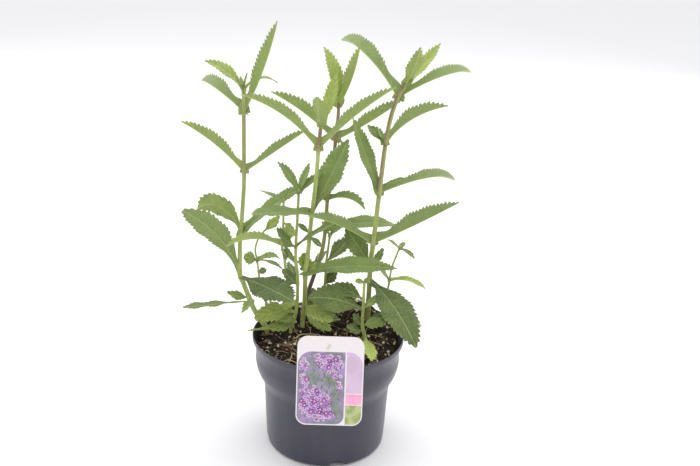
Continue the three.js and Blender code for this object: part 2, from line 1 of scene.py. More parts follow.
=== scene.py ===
"""Potted verbena: a young purpletop vervain in a round nursery pot, with a plain picture label on its lip.

All sizes in this file are in millimetres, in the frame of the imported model, and turned to metres when a
mesh is made. The origin is the middle of the pot's underside, +Z is up, and the label is towards -Y.
"""

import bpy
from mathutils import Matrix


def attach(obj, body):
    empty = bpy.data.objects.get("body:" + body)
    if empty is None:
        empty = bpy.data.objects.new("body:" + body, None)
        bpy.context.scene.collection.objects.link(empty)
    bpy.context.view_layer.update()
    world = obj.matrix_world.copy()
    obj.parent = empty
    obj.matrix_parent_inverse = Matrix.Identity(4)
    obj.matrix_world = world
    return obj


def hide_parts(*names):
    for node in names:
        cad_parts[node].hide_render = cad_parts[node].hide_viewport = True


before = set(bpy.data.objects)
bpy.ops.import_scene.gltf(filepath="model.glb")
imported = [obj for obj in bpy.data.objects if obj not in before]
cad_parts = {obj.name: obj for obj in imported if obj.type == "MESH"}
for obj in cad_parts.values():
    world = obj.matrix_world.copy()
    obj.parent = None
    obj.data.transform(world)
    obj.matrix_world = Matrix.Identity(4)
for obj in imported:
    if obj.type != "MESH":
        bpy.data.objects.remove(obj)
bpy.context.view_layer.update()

import logging
import math
from abc import ABC, abstractmethod
from dataclasses import dataclass, field
from enum import Enum

import bpy
import numpy as np
from mathutils import Matrix, Vector, noise

LOG = logging.getLogger("potted_verbena")
BODY = "root"
MILLIMETRE = 0.001
UP = np.array([0.0, 0.0, 1.0])
TURN = 2 * math.pi
ALL_SMOOTH = 180.0

Colour = tuple[float, float, float]
Place = tuple[float, float, float]
Section = tuple[tuple[float, float], ...]
Faces = list[tuple[int, ...]]
Form = tuple[np.ndarray, Faces]
Material = bpy.types.Material
Socket = bpy.types.NodeSocket


def smooth_step(value: np.ndarray, start: float, end: float) -> np.ndarray:
    """Rise without a kink, from 0 where the value is at start to 1 where it is at end."""
    share = np.clip((np.asarray(value, float) - start) / (end - start), 0.0, 1.0)
    return share * share * (3.0 - 2.0 * share)


def smooth_line(knots: np.ndarray, values: np.ndarray, at: np.ndarray) -> np.ndarray:
    """Follow a smooth line through some knots, without overshoot.

    Args:
        knots: Rising places of the knots.
        values: The line's value at each knot.
        at: The places to read the line at.

    Returns:
        The line's value at each of those places.
    """
    knots, values, at = (np.asarray(a, float) for a in (knots, values, at))
    gap = np.diff(knots)
    slope = np.diff(values) / gap
    tangent = np.empty(len(knots))
    tangent[0], tangent[-1] = slope[0], slope[-1]
    before, after = slope[:-1], slope[1:]
    agree = before * after > 0
    total = np.where(agree, before + after, 1.0)
    tangent[1:-1] = np.where(agree, 2.0 * before * after / total, 0.0)
    i = np.clip(np.searchsorted(knots, at, side="right") - 1, 0, len(gap) - 1)
    t = np.clip((at - knots[i]) / gap[i], 0.0, 1.0)
    start = values[i] * (1 + 2 * t) * (1 - t) ** 2 + tangent[i] * gap[i] * t * (1 - t) ** 2
    end = values[i + 1] * t * t * (3 - 2 * t) + tangent[i + 1] * gap[i] * t * t * (t - 1)
    return start + end


def unit(vectors: np.ndarray) -> np.ndarray:
    """Scale each vector to a length of 1."""
    return vectors / np.linalg.norm(vectors, axis=-1, keepdims=True)


def turned_about(vectors: np.ndarray, axes: np.ndarray, degrees: float) -> np.ndarray:
    """Turn each vector by some degrees about its own axis, of length 1 and square to it."""
    angle = math.radians(degrees)
    return vectors * math.cos(angle) + np.cross(axes, vectors) * math.sin(angle)


@dataclass(frozen=True)
class Finish(ABC):
    """What a surface is made of: a material, and short calls that add nodes to it and link them."""

    name: str

    @property
    def tree(self) -> bpy.types.NodeTree:
        """Give the material's node tree."""
        return bpy.data.materials[self.name].node_tree

    @abstractmethod
    def paint(self) -> None:
        """Build the nodes that give the surface its looks."""

    def make(self) -> Material:
        """Make the material.

        Returns:
            The finished material.
        """
        material = bpy.data.materials.new(self.name)
        material.use_nodes = True
        self.paint()
        return material

    def feed(self, target: Socket, value: object) -> None:
        """Link a socket to an input, or set the input to a plain value.

        Args:
            target: The input.
            value: The socket or the value.
        """
        if isinstance(value, Socket):
            self.tree.links.new(value, target)
        else:
            target.default_value = value

    def add(self, kind: str, inputs: dict[int | str, object], **settings: object) -> bpy.types.Node:
        """Add a node.

        Args:
            kind: Blender's name of the node type.
            inputs: A socket or a plain value for each input, by number or name.
            **settings: The node's own settings.

        Returns:
            The new node.
        """
        made = self.tree.nodes.new(kind)
        for name, value in settings.items():
            setattr(made, name, value)
        for key, value in inputs.items():
            self.feed(made.inputs[key], value)
        return made

    def reading(self, name: str) -> Socket:
        """Read a named value of the mesh."""
        return self.add("ShaderNodeAttribute", {}, attribute_name=name).outputs["Fac"]

    def place(self, stretch: Colour = (1, 1, 1)) -> Socket:
        """Read the place on the object, in metres, with each axis stretched by its own factor."""
        source = self.add("ShaderNodeTexCoord", {}).outputs["Object"]
        return self.add("ShaderNodeMapping", {"Vector": source, "Scale": stretch}).outputs[0]

    def noise(self, size: float, detail: float = 3.0, stretch: Colour = (1, 1, 1)) -> Socket:
        """Add cloudy noise with blotches of that size in millimetres and some finer layers in them."""
        inputs = {"Vector": self.place(stretch), "Scale": 1.0 / (size * MILLIMETRE), "Detail": detail}
        return self.add("ShaderNodeTexNoise", inputs).outputs["Fac"]

    def cells(self, size: float, feature: str = "F1") -> Socket:
        """Add a pattern of cells of that size in millimetres, and give the distance in them."""
        inputs = {"Vector": self.place(), "Scale": 1.0 / (size * MILLIMETRE)}
        return self.add("ShaderNodeTexVoronoi", inputs, feature=feature).outputs["Distance"]

    def math(self, operation: str, first: object, second: object = 0.0, third: object = 0.0) -> Socket:
        """Reckon with up to three sockets or numbers by the operation that Blender calls so."""
        return self.add("ShaderNodeMath", {0: first, 1: second, 2: third}, operation=operation).outputs[0]

    def ramp(self, value: Socket, start: float, end: float, low: float = 0.0, high: float = 1.0) -> Socket:
        """Turn a value smoothly from the range between start and end into the one between low and high."""
        inputs = {0: value, 1: start, 2: end, 3: low, 4: high}
        return self.add("ShaderNodeMapRange", inputs, interpolation_type="SMOOTHSTEP").outputs[0]

    def blend(self, share: object, first: object, second: object) -> Socket:
        """Blend from the first colour or socket to the second by a share."""
        ends = [(*c, 1.0) if isinstance(c, tuple) else c for c in (first, second)]
        return self.add("ShaderNodeMix", {0: share, 6: ends[0], 7: ends[1]}, data_type="RGBA").outputs[2]

    def relief(self, height: Socket, depth: float, strength: float, under: Socket | None = None) -> Socket:
        """Raise a relief of some millimetres on the surface, or on the relief under it."""
        inputs = {"Height": height, "Distance": depth * MILLIMETRE, "Strength": strength}
        return self.add("ShaderNodeBump", inputs | ({} if under is None else {"Normal": under})).outputs[0]

    def wear(self, **inputs: object) -> None:
        """Feed the surface's shader with a socket or a value for each input, with _ for a blank."""
        for name, value in inputs.items():
            self.feed(self.tree.nodes["Principled BSDF"].inputs[name.replace("_", " ")], value)


@dataclass(frozen=True)
class LeafFinish(Finish):
    """Fresh matt leaves, from dark to light green, with paler veins and undersides."""

    name: str = "fresh_leaf"
    dark: Colour = (0.043, 0.072, 0.020)
    middle: Colour = (0.165, 0.245, 0.062)
    light: Colour = (0.370, 0.455, 0.090)
    underside: Colour = (0.250, 0.325, 0.120)
    vein: Colour = (0.430, 0.500, 0.170)
    burnt: Colour = (0.190, 0.170, 0.070)

    def paint(self) -> None:
        """Shade the blades by their tone, paint shade into the valleys by the side veins, and draw the net of
        veins, the midrib and the burnt rim.
        """
        cloud = self.noise(14.0, 4.0)
        mottle = self.noise(2.2, 2.0)
        # The tone is partly the leaf's own green and partly painted shade, lower on the low leaves.
        shade = self.math("MULTIPLY_ADD", cloud, 0.5, self.math("SUBTRACT", self.reading("tone"), 0.25))
        shade = self.math("MULTIPLY_ADD", mottle, 0.44, self.math("SUBTRACT", shade, 0.16))
        step = self.math("FRACT", self.reading("vein"))
        away = self.math("ABSOLUTE", self.math("SUBTRACT", step, 0.5))
        # Painted shade: the blade darkens towards each side vein, in the valleys of the quilted surface.
        shade = self.math("SUBTRACT", shade, self.ramp(away, 0.15, 0.43, 0.0, 0.17))
        low = self.blend(self.ramp(shade, 0.0, 0.5), self.dark, self.middle)
        green = self.blend(self.ramp(shade, 0.5, 1.0), low, self.light)
        side_vein = self.ramp(away, 0.425, 0.462)
        midrib = self.ramp(self.reading("rib"), 0.75, 0.25)
        net = self.ramp(self.cells(2.1, "DISTANCE_TO_EDGE"), 0.0, 0.22)
        lines = self.math("MULTIPLY", self.math("SUBTRACT", 1.0, net), 0.24)
        lines = self.math("MAXIMUM", lines, self.math("MULTIPLY", side_vein, 0.6))
        veins = self.math("MAXIMUM", midrib, lines)
        upper = self.blend(self.math("MULTIPLY", veins, 0.62), green, self.vein)
        rim = self.ramp(self.reading("edge"), 0.93, 1.0)
        upper = self.blend(self.math("MULTIPLY", rim, 0.35), upper, self.burnt)
        pale = self.blend(0.4, green, self.underside)
        lower = self.blend(self.math("MULTIPLY", veins, 0.8), pale, self.vein)
        colour = self.blend(self.reading("under"), upper, lower)
        bumps = self.math("SUBTRACT", net, self.math("MULTIPLY", veins, 1.2))
        normal = self.relief(mottle, 0.5, 0.5, self.relief(bumps, 0.14, 0.6))
        rough = self.ramp(mottle, 0.2, 0.8, 0.5, 0.68)
        self.wear(
            Base_Color=colour, Roughness=rough, Normal=normal, Specular_IOR_Level=0.3, Sheen_Weight=0.05,
        )


@dataclass(frozen=True)
class StemFinish(Finish):
    """Ridged green stems that redden where the value named red says so, and turn to wood at bark."""

    name: str = "ridged_stem"
    # green is the lit stem colour, and shaded is a copy of it with painted shade.
    green: Colour = (0.420, 0.480, 0.130)
    shaded: Colour = (0.270, 0.330, 0.090)
    red: Colour = (0.200, 0.095, 0.075)
    bark: Colour = (0.175, 0.105, 0.085)

    def paint(self) -> None:
        """Streak the stems along their length between the green and its shaded copy, partly real streaks and
        partly painted shade, and paint the ridges lighter as a painted highlight.
        """
        streaks = self.noise(3.0, 4.0, (1, 1, 0.12))
        cloud = self.noise(9.0, 3.0)
        skin = self.blend(self.ramp(streaks, 0.3, 0.7), self.shaded, self.green)
        # Painted highlight: the ridges are lightened towards the lit green.
        skin = self.blend(self.math("MULTIPLY", self.reading("ridge"), 0.35), skin, self.green)
        red = self.math("MULTIPLY", self.reading("red"), self.ramp(cloud, 0.15, 0.7, 0.55, 1.0))
        skin = self.blend(red, skin, self.red)
        skin = self.blend(self.reading("bark"), skin, self.bark)
        normal = self.relief(streaks, 0.25, 0.7, self.relief(cloud, 0.5, 0.3))
        self.wear(Base_Color=skin, Roughness=0.52, Normal=normal, Specular_IOR_Level=0.4, Sheen_Weight=0.15)


@dataclass(frozen=True)
class PlainFinish(Finish):
    """A surface that clouds softly from one colour into another, such as bristles or the table top."""

    first: Colour
    second: Colour
    size: float
    roughness: float

    def paint(self) -> None:
        """Blend the two colours by one cloud."""
        colour = self.blend(self.noise(self.size, 1.0), self.first, self.second)
        self.wear(Base_Color=colour, Roughness=self.roughness)


@dataclass(frozen=True)
class PotFinish(Finish):
    """Dark blue-grey polypropylene with a satin sheen, fine flow marks and a little dust."""

    name: str = "nursery_pot"
    plastic: Colour = (0.036, 0.035, 0.056)
    worn: Colour = (0.060, 0.058, 0.086)
    soil: Colour = (0.060, 0.036, 0.024)

    def paint(self) -> None:
        """Streak and cloud the plastic, wear its lip and dirty it with soil."""
        flow = self.noise(16.0, 4.0, (1, 1, 0.16))
        cloud = self.noise(40.0, 3.0)
        colour = self.blend(self.ramp(flow, 0.35, 0.75, 0.0, 0.45), self.plastic, self.worn)
        colour = self.blend(self.ramp(cloud, 0.45, 0.8, 0.0, 0.35), colour, self.worn)
        colour = self.blend(self.math("MULTIPLY", self.reading("scuff"), 0.5), colour, self.worn)
        specks = self.math("MULTIPLY", self.ramp(self.cells(7.0), 0.085, 0.045), 0.55)
        smear = self.ramp(self.noise(6.0, 5.0), 0.5, 0.66)
        dirt = self.math("MAXIMUM", specks, self.math("MULTIPLY", smear, self.reading("soiled")))
        colour = self.blend(dirt, colour, self.soil)
        rough = self.math("MULTIPLY_ADD", dirt, 0.35, self.ramp(cloud, 0.3, 0.7, 0.31, 0.36))
        normal = self.relief(self.noise(0.9, 2.0), 0.03, 0.25, self.relief(cloud, 0.3, 0.1))
        self.wear(Base_Color=colour, Roughness=rough, Normal=normal, Specular_IOR_Level=0.55)


@dataclass(frozen=True)
class SoilFinish(Finish):
    """Damp dark peat, with lighter dry crumbs."""

    name: str = "damp_peat"
    wet: Colour = (0.016, 0.010, 0.008)
    damp: Colour = (0.050, 0.030, 0.021)
    dry: Colour = (0.130, 0.082, 0.055)

    def paint(self) -> None:
        """Cloud the peat, and lighten its driest crumbs."""
        clods = self.noise(5.0, 6.0)
        tone = self.math("ADD", clods, self.math("MULTIPLY", self.reading("tone"), 0.35))
        colour = self.blend(self.ramp(tone, 0.35, 0.75), self.wet, self.damp)
        colour = self.blend(self.ramp(tone, 0.72, 1.0), colour, self.dry)
        normal = self.relief(self.cells(1.7), 0.7, 0.8, self.relief(clods, 2.0, 0.9))
        self.wear(Base_Color=colour, Roughness=0.92, Normal=normal, Specular_IOR_Level=0.25)


@dataclass(frozen=True)
class GritFinish(Finish):
    """Pale grains, bark and dry roots, from one colour to another by the value named tone."""

    first: Colour
    second: Colour
    roughness: float = 0.8
    grain: float = 1.2

    def paint(self) -> None:
        """Blend the two colours by the tone and a fine cloud."""
        cloud = self.noise(self.grain, 3.0)
        share = self.math("MULTIPLY_ADD", cloud, 0.6, self.math("SUBTRACT", self.reading("tone"), 0.3))
        colour = self.blend(self.ramp(share, 0.0, 1.0), self.first, self.second)
        self.wear(Base_Color=colour, Roughness=self.roughness, Normal=self.relief(cloud, 0.3, 0.7))


@dataclass(frozen=True)
class CardFinish(Finish):
    """White plastic card with a soft gloss."""

    name: str = "white_card"
    colour: Colour = (0.80, 0.75, 0.77)
    shaded: Colour = (0.76, 0.71, 0.74)

    def paint(self) -> None:
        """Cloud the card and its gloss a little."""
        cloud = self.noise(30.0, 2.0)
        colour = self.blend(self.ramp(cloud, 0.4, 0.8, 0.0, 0.5), self.colour, self.shaded)
        rough = self.ramp(cloud, 0.3, 0.7, 0.24, 0.34)
        self.wear(Base_Color=colour, Roughness=rough, Normal=self.relief(self.noise(2.0), 0.02, 0.3))


@dataclass(frozen=True)
class PrintFinish(Finish):
    """Printing ink under a soft gloss, which clouds from one colour into another."""

    first: Colour
    second: Colour
    size: float

    def paint(self) -> None:
        """Blend the two colours by one cloud."""
        cloud = self.noise(self.size, 2.0)
        colour = self.blend(self.ramp(cloud, 0.38, 0.62), self.first, self.second)
        self.wear(Base_Color=colour, Roughness=0.3, Normal=self.relief(self.noise(2.0), 0.02, 0.3))


class Coat(Enum):
    """Every finish in the scene."""

    LEAF = LeafFinish()
    STEM = StemFinish()
    BRISTLE = PlainFinish("bristle", (0.62, 0.66, 0.46), (0.5, 0.58, 0.33), 5.0, 0.5)
    POT = PotFinish()
    SOIL = SoilFinish()
    GRAIN = GritFinish("pale_grain", (0.50, 0.42, 0.20), (0.80, 0.76, 0.52))
    BARK = GritFinish("bark_bit", (0.085, 0.042, 0.024), (0.26, 0.16, 0.10), 0.85, 2.5)
    ROOT = GritFinish("dry_root", (0.22, 0.10, 0.05), (0.60, 0.49, 0.28), 0.7, 4.0)
    CARD = CardFinish()
    MEADOW = PrintFinish("meadow_ink", (0.20, 0.21, 0.22), (0.36, 0.26, 0.48), 14.0)
    LILAC = PrintFinish("lilac_ink", (0.60, 0.43, 0.60), (0.66, 0.50, 0.66), 20.0)
    PINK = PrintFinish("pink_ink", (0.88, 0.30, 0.52), (0.92, 0.42, 0.62), 10.0)
    MOSS = PrintFinish("moss_ink", (0.30, 0.36, 0.13), (0.48, 0.52, 0.24), 8.0)
    VIOLET = PrintFinish("violet_ink", (0.20, 0.06, 0.28), (0.34, 0.12, 0.46), 3.0)
    BLOSSOM = PrintFinish("blossom_ink", (0.48, 0.24, 0.60), (0.72, 0.50, 0.78), 3.0)
    SAND = PrintFinish("sand_ink", (0.66, 0.58, 0.46), (0.72, 0.65, 0.53), 4.0)
    LEAFY = PrintFinish("leafy_ink", (0.13, 0.19, 0.11), (0.26, 0.33, 0.20), 4.0)
    FLOOR = PlainFinish("pale_floor", (0.845, 0.845, 0.86), (0.83, 0.83, 0.845), 300.0, 0.6)

    @property
    def material(self) -> Material:
        """Give the finish's material, which is made when it is first asked for."""
        return bpy.data.materials.get(self.value.name) or self.value.make()


@dataclass
class MeshDraft:
    """Points, faces and named values at the points, gathered until they become one mesh."""

    points: list[np.ndarray] = field(default_factory=list)
    faces: Faces = field(default_factory=list)
    finishes: list[int] = field(default_factory=list)
    values: dict[str, list[np.ndarray]] = field(default_factory=dict)
    count: int = 0

    def add(self, points: np.ndarray, faces: Faces, finish: int = 0, **values: object) -> None:
        """Add a closed form.

        Args:
            points: Its points, one row each, in millimetres.
            faces: Its faces, as numbers of its own points.
            finish: The number of the material that its faces wear.
            **values: A number for each point, or one number for all of them.
        """
        points = np.asarray(points, float).reshape(-1, 3)
        self.points.append(points)
        self.faces += [tuple(int(i) + self.count for i in face) for face in faces]
        self.finishes += [finish] * len(faces)
        for name, value in values.items():
            spread = np.broadcast_to(np.asarray(value, float).ravel(), (len(points),))
            self.values.setdefault(name, []).append(spread)
        self.count += len(points)

    def make(self, name: str, coats: list[Coat], crease: float = ALL_SMOOTH) -> bpy.types.Object:
        """Turn what was gathered into an object of the scene.

        Args:
            name: The piece's name.
            coats: The finishes that its faces wear, in order.
            crease: Edges that bend by more than this many degrees stay sharp.

        Returns:
            The new object, which isn't yet on a body.
        """
        mesh = bpy.data.meshes.new(name)
        mesh.from_pydata((np.concatenate(self.points) * MILLIMETRE).tolist(), [], self.faces)
        for label, parts in self.values.items():
            mesh.attributes.new(label, "FLOAT", "POINT").data.foreach_set("value", np.concatenate(parts))
        for coat in coats:
            mesh.materials.append(coat.material)
        mesh.polygons.foreach_set("material_index", self.finishes)
        mesh.polygons.foreach_set("use_smooth", [True] * len(mesh.polygons))
        if crease < ALL_SMOOTH:
            mesh.set_sharp_from_angle(angle=math.radians(crease))
        mesh.update()
        piece = bpy.data.objects.new(name, mesh)
        bpy.context.scene.collection.objects.link(piece)
        return piece


def settle(piece: bpy.types.Object, slot: str, *nodes: str) -> None:
    """Put a piece on the plant's body and hide the solids that it stands for.

    Args:
        piece: The new piece.
        slot: The record's material slot, which is not used.
        *nodes: The solids that the piece replaces.
    """
    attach(piece, BODY)
    if nodes:
        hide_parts(*nodes)
    LOG.info("%s: %d faces", piece.name, len(piece.data.polygons))


def circle(sides: int) -> np.ndarray:
    """Give the angles of the points round a circle."""
    return np.arange(sides) * TURN / sides


def around(start: int, sides: int, step: int) -> Faces:
    """List the four-sided faces between a ring of points and the ring that starts step points later."""
    pairs = ((start + a, start + (a + 1) % sides) for a in range(sides))
    return [(a, b, b + step, a + step) for a, b in pairs]


def lathe(profile: np.ndarray, sides: int) -> Form:
    """Turn a profile that starts and ends on the axis about Z.

    Args:
        profile: Rows of radius and height.
        sides: How many steps the turn has.

    Returns:
        The points and the faces of the closed form.
    """
    angle = circle(sides)
    inner = profile[1:-1]
    wide, tall = inner[:, :1], np.repeat(inner[:, 1:], sides, axis=1)
    rings = np.stack([wide * np.cos(angle), wide * np.sin(angle), tall], axis=-1).reshape(-1, 3)
    points = np.vstack([rings, [0, 0, profile[0, 1]], [0, 0, profile[-1, 1]]])
    first, last = len(rings), len(rings) + 1
    top = (len(inner) - 1) * sides
    faces = []
    for a in range(sides):
        b = (a + 1) % sides
        faces += [(i + a, i + b, i + sides + b, i + sides + a) for i in range(0, top, sides)]
        faces += [(first, b, a), (last, top + a, top + b)]
    return points, faces


def tube_faces(rings: int, sides: int) -> Faces:
    """List the faces of a closed tube.

    Args:
        rings: How many rings of points it has.
        sides: How many points each ring has.

    Returns:
        Its side faces and its two end faces.
    """
    faces = [face for start in range(0, (rings - 1) * sides, sides) for face in around(start, sides, sides)]
    return [*faces, tuple(range(sides - 1, -1, -1)), tuple(range((rings - 1) * sides, rings * sides))]


def tube(path: np.ndarray, radii: np.ndarray, sides: int) -> Form:
    """Draw a closed round tube along a path.

    Args:
        path: The points of its axis.
        radii: Its radius at each point.
        sides: How many sides its section has.

    Returns:
        The points and the faces of the tube.
    """
    along = unit(np.gradient(path, axis=0))
    helper = np.where(np.abs(along[:, 2:]) > 0.8, np.array([[0.0, 1.0, 0.0]]), UP)
    side = unit(np.cross(along, helper))
    other = np.cross(along, side)
    angle = circle(sides)
    ring = side[:, None] * np.cos(angle)[None, :, None] + other[:, None] * np.sin(angle)[None, :, None]
    points = (path[:, None] + ring * radii[:, None, None]).reshape(-1, 3)
    return points, tube_faces(len(path), sides)


@dataclass(frozen=True)
class BladeShape:
    """The outline of a kind of leaf and how its edge and its face are worked.

    The outline lists shares of the length and of the half width. A tooth is no deeper than tooth_depth or
    tooth_share of the half width. fold is the angle in degrees by which each half of the blade is turned up
    along the midrib, clasp how far the lobes reach back round the stem, as a share of the half width, and
    quilt how far the blade bulges between its side veins.
    """

    outline: Section
    tooth_share: float
    tooth_depth: float
    tooth_pitch: float
    toothed_from: float
    fold: float
    wave: float
    wave_pitch: float
    clasp: float
    vein_pitch: float
    vein_slant: float
    quilt: float


class LeafForm(Enum):
    """The kinds of leaf on the plant."""

    LANCE = BladeShape(
        ((0, 0.52), (0.03, 0.74), (0.07, 0.8), (0.12, 0.7), (0.2, 0.56), (0.32, 0.78), (0.48, 1),
         (0.68, 0.86), (0.86, 0.46), (1, 0)),
        0.26, 1.8, 4.1, 0.22, 12.0, 0.5, 24.0, 0.9, 7.5, 1.1, 0.4,
    )
    KEEL = BladeShape(
        ((0, 0.52), (0.03, 0.72), (0.07, 0.78), (0.12, 0.66), (0.2, 0.5), (0.32, 0.74), (0.48, 1),
         (0.68, 0.88), (0.86, 0.5), (1, 0)),
        0.22, 2.5, 4.5, 0.24, 50.0, 0.4, 24.0, 0.9, 7.5, 1.2, 0.4,
    )
    OVATE = BladeShape(
        ((0, 0.14), (0.12, 0.16), (0.24, 0.44), (0.4, 0.88), (0.55, 1), (0.75, 0.8), (0.92, 0.38), (1, 0)),
        0.21, 2.4, 4.9, 0.24, 6.0, 0.9, 22.0, 0.0, 9.0, 1.35, 0.95,
    )
    SPOON = BladeShape(
        ((0, 0.16), (0.18, 0.2), (0.36, 0.5), (0.56, 0.92), (0.72, 1), (0.86, 0.8), (0.95, 0.45), (1, 0.1)),
        0.18, 2.5, 5.2, 0.33, 5.0, 0.9, 26.0, 0.0, 8.6, 1.35, 0.95,
    )
    BUD = BladeShape(
        ((0, 0.5), (0.4, 1), (0.8, 0.7), (1, 0)), 0.0, 0.0, 4.0, 0.2, 17.0, 0.0, 10.0, 0.0, 3.0, 1.0, 0.1,
    )


@dataclass(frozen=True)
class Leaf:
    """A leaf on its node.

    at is the node's height, heading the way the leaf grows round the stem (0 towards +X, 90 towards +Y), rise
    its slope at the stem, droop and sweep how far it bends down and round over its length, and roll how far
    its left edge is turned up. tone runs from 0, dark, to 1, light; it is partly the leaf's own green and
    partly painted shade, which is set lower on the low leaves.
    """

    form: LeafForm
    at: float
    heading: float
    rise: float
    length: float
    width: float
    droop: float
    sweep: float
    roll: float
    tone: float

    THICKNESS = 0.5
    RIM_THICKNESS = 0.36
    TIP_HALF_WIDTH = 0.3
    RIB_HALF_WIDTH = 0.8
    RIB_RIDGE = 0.55
    RIB_TROUGH = 0.35
    SMOOTH_STEP_LENGTH = 2.5
    # The place along a tooth, how far it stands out (-1 to 1) and how far it leans forward, as a share of it.
    TOOTH = ((0.0, -1.0, 0.0), (0.38, 0.15, 0.06), (0.72, 1.0, 0.3))
    TOOTH_CREST, TOOTH_GAP, TOOTH_UNEVENNESS = 0.45, 0.55, 0.35
    SPREAD = (0.0, 0.22, 0.46, 0.7, 0.88, 1.0)
    TEETH_REACH_IN = 0.62
    LOBES_END = 0.1
    WAVES_BEGIN, WAVES_END = (0.08, 0.4), (0.8, 1.0)
    QUILT_BEGINS, QUILT_ENDS = (0.0, 0.35), (0.75, 1.0)
    QUILTED_HALF_WIDTHS = (1.0, 5.0)
    FULL_QUILT_WIDTH = 20.0
    FULL_TROUGH_WIDTH = 10.0
    FULL_RIDGE_WIDTH = 16.0

    def headings(self, shares: np.ndarray) -> np.ndarray:
        """Give the heading, in radians, at some shares of the length."""
        return np.radians(self.heading + self.sweep * shares)

    def directions(self, shares: np.ndarray) -> np.ndarray:
        """Point along the midrib.

        Args:
            shares: The places along it, as shares of its length.

        Returns:
            A direction of length 1 at each place.
        """
        heading, rise = self.headings(shares), np.radians(self.rise - self.droop * shares)
        level = np.cos(rise)
        return np.stack([level * np.cos(heading), level * np.sin(heading), np.sin(rise)], axis=-1)

    def stations(self) -> tuple[np.ndarray, np.ndarray, np.ndarray]:
        """Lay out the cross lines of the blade.

        Returns:
            Their shares of the length, and at each the cut of the edge from -1 at the bottom of a gap between
            teeth to 1 at a point of a tooth, and how far the point leans forward, as a share of the length.
        """
        shape = self.form.value
        start = shape.toothed_from
        toothed = self.length * (1 - start)
        count = max(2, round(toothed / min(shape.tooth_pitch, toothed / 4)))
        base = max(3, round(self.length * start / self.SMOOTH_STEP_LENGTH))
        rows = [(share, 0.0, 0.0) for share in np.linspace(0, start, base, endpoint=False)]
        for tooth in range(count):
            for place, cut, lean in self.TOOTH:
                edge = cut if (tooth or place) and shape.tooth_share else 0.0
                rows.append((start + (1 - start) * (tooth + place) / count, edge, lean * (1 - start) / count))
        return tuple(np.array([*rows, (1.0, 0.0, 0.0)]).T)

    def add_to(self, draft: MeshDraft, root: np.ndarray, seed: int) -> None:
        """Add the blade to a mesh: two faces with a thin rim, veins, waves and a toothed edge.

        Args:
            draft: The mesh that is being gathered.
            root: The point of the stem that the leaf grows from.
            seed: A number that sets its waves.
        """
        shape = self.form.value
        shares, cuts, leans = self.stations()
        down, cuts, leans = shares[:, None], cuts[:, None], leans[:, None]
        along = self.directions(shares)
        steps = self.directions((shares[1:] + shares[:-1]) / 2) * (np.diff(shares) * self.length)[:, None]
        middle = root + np.vstack([np.zeros(3), np.cumsum(steps, axis=0)])
        heading = self.headings(shares)
        level = np.stack([-np.sin(heading), np.cos(heading), np.zeros(len(shares))], axis=-1)
        left = turned_about(level, along, self.roll)
        face = np.cross(along, left)[:, None]

        travel = down * self.length
        half = self.width / 2 * smooth_line(*np.array(shape.outline).T, down)
        depth = min(shape.tooth_depth, shape.tooth_share * self.width / 2)
        cut = np.where(cuts > 0, cuts * self.TOOTH_CREST, cuts * self.TOOTH_GAP) * depth
        cut = cut * np.clip(half / (0.16 * self.width), 0, 1)
        cut = cut * (1 + self.TOOTH_UNEVENNESS * np.sin(2.3 * travel / shape.tooth_pitch + seed))
        half = np.maximum(self.TIP_HALF_WIDTH, half)
        rib = np.minimum(self.RIB_HALF_WIDTH / half, 0.3)
        spread = rib + (1 - rib) * np.array(self.SPREAD)
        across = np.concatenate([spread[:, ::-1], np.zeros_like(down), -spread], axis=1)
        side, reach = np.sign(across), np.abs(across)
        edge_pull = smooth_step(reach, self.TEETH_REACH_IN, 1.0)
        x = side * (reach * half + cut * edge_pull)
        lobes = shape.clasp * self.width / 2 * (1 - smooth_step(down, 0.0, self.LOBES_END))
        forward = leans * self.length * edge_pull - lobes * reach**0.7 * (1.0 - 0.8 * reach**3)

        waves = np.sin(TURN * travel / shape.wave_pitch + seed * 1.7 + side * (1.1 + seed % 3))
        waves = shape.wave * waves * reach**2 * smooth_step(down, *self.WAVES_BEGIN)
        waves = waves * (1 - smooth_step(down, *self.WAVES_END))
        arch = shape.vein_slant * np.abs(x) * (0.7 + 0.6 * reach)
        uneven = 1.2 * np.sin(travel / 9.0 + seed + side)
        vein = (travel - arch + uneven) / shape.vein_pitch + seed * 0.37
        quilt = shape.quilt * min(1.0, self.width / self.FULL_QUILT_WIDTH)
        quilt = quilt * (0.5 - 0.5 * np.cos(TURN * vein))
        quilt = quilt * smooth_step(reach, *self.QUILT_BEGINS) * (1 - smooth_step(reach, *self.QUILT_ENDS))
        quilt = quilt * smooth_step(half, *self.QUILTED_HALF_WIDTHS)
        on_rib = reach < 1e-6
        trough = -self.RIB_TROUGH * on_rib * min(1.0, self.width / self.FULL_TROUGH_WIDTH)
        fold = math.radians(shape.fold)
        lift = math.sin(fold) * (half * reach**1.15 + cut * edge_pull) + waves + quilt + trough
        sideways = left[:, None] * (x * math.cos(fold))[..., None]
        surface = middle[:, None] + sideways + along[:, None] * forward[..., None] + face * lift[..., None]

        thick = self.THICKNESS + (self.RIM_THICKNESS - self.THICKNESS) * smooth_step(reach, 0.5, 1.0)
        ridge = self.RIB_RIDGE * np.clip(self.width / self.FULL_RIDGE_WIDTH, 0.4, 1.2)
        ridge = ridge * on_rib * (1 - 0.7 * down)
        upper = surface + face * (thick / 2)[..., None]
        lower = surface - face * (thick / 2 + ridge)[..., None]
        values = {"vein": vein, "rib": np.abs(x), "edge": reach}
        draft.add(
            np.concatenate([upper.reshape(-1, 3), lower.reshape(-1, 3)]),
            self.skin(*across.shape),
            under=np.repeat([0.0, 1.0], across.size),
            tone=self.tone,
            **{name: np.tile(value.ravel(), 2) for name, value in values.items()},
        )

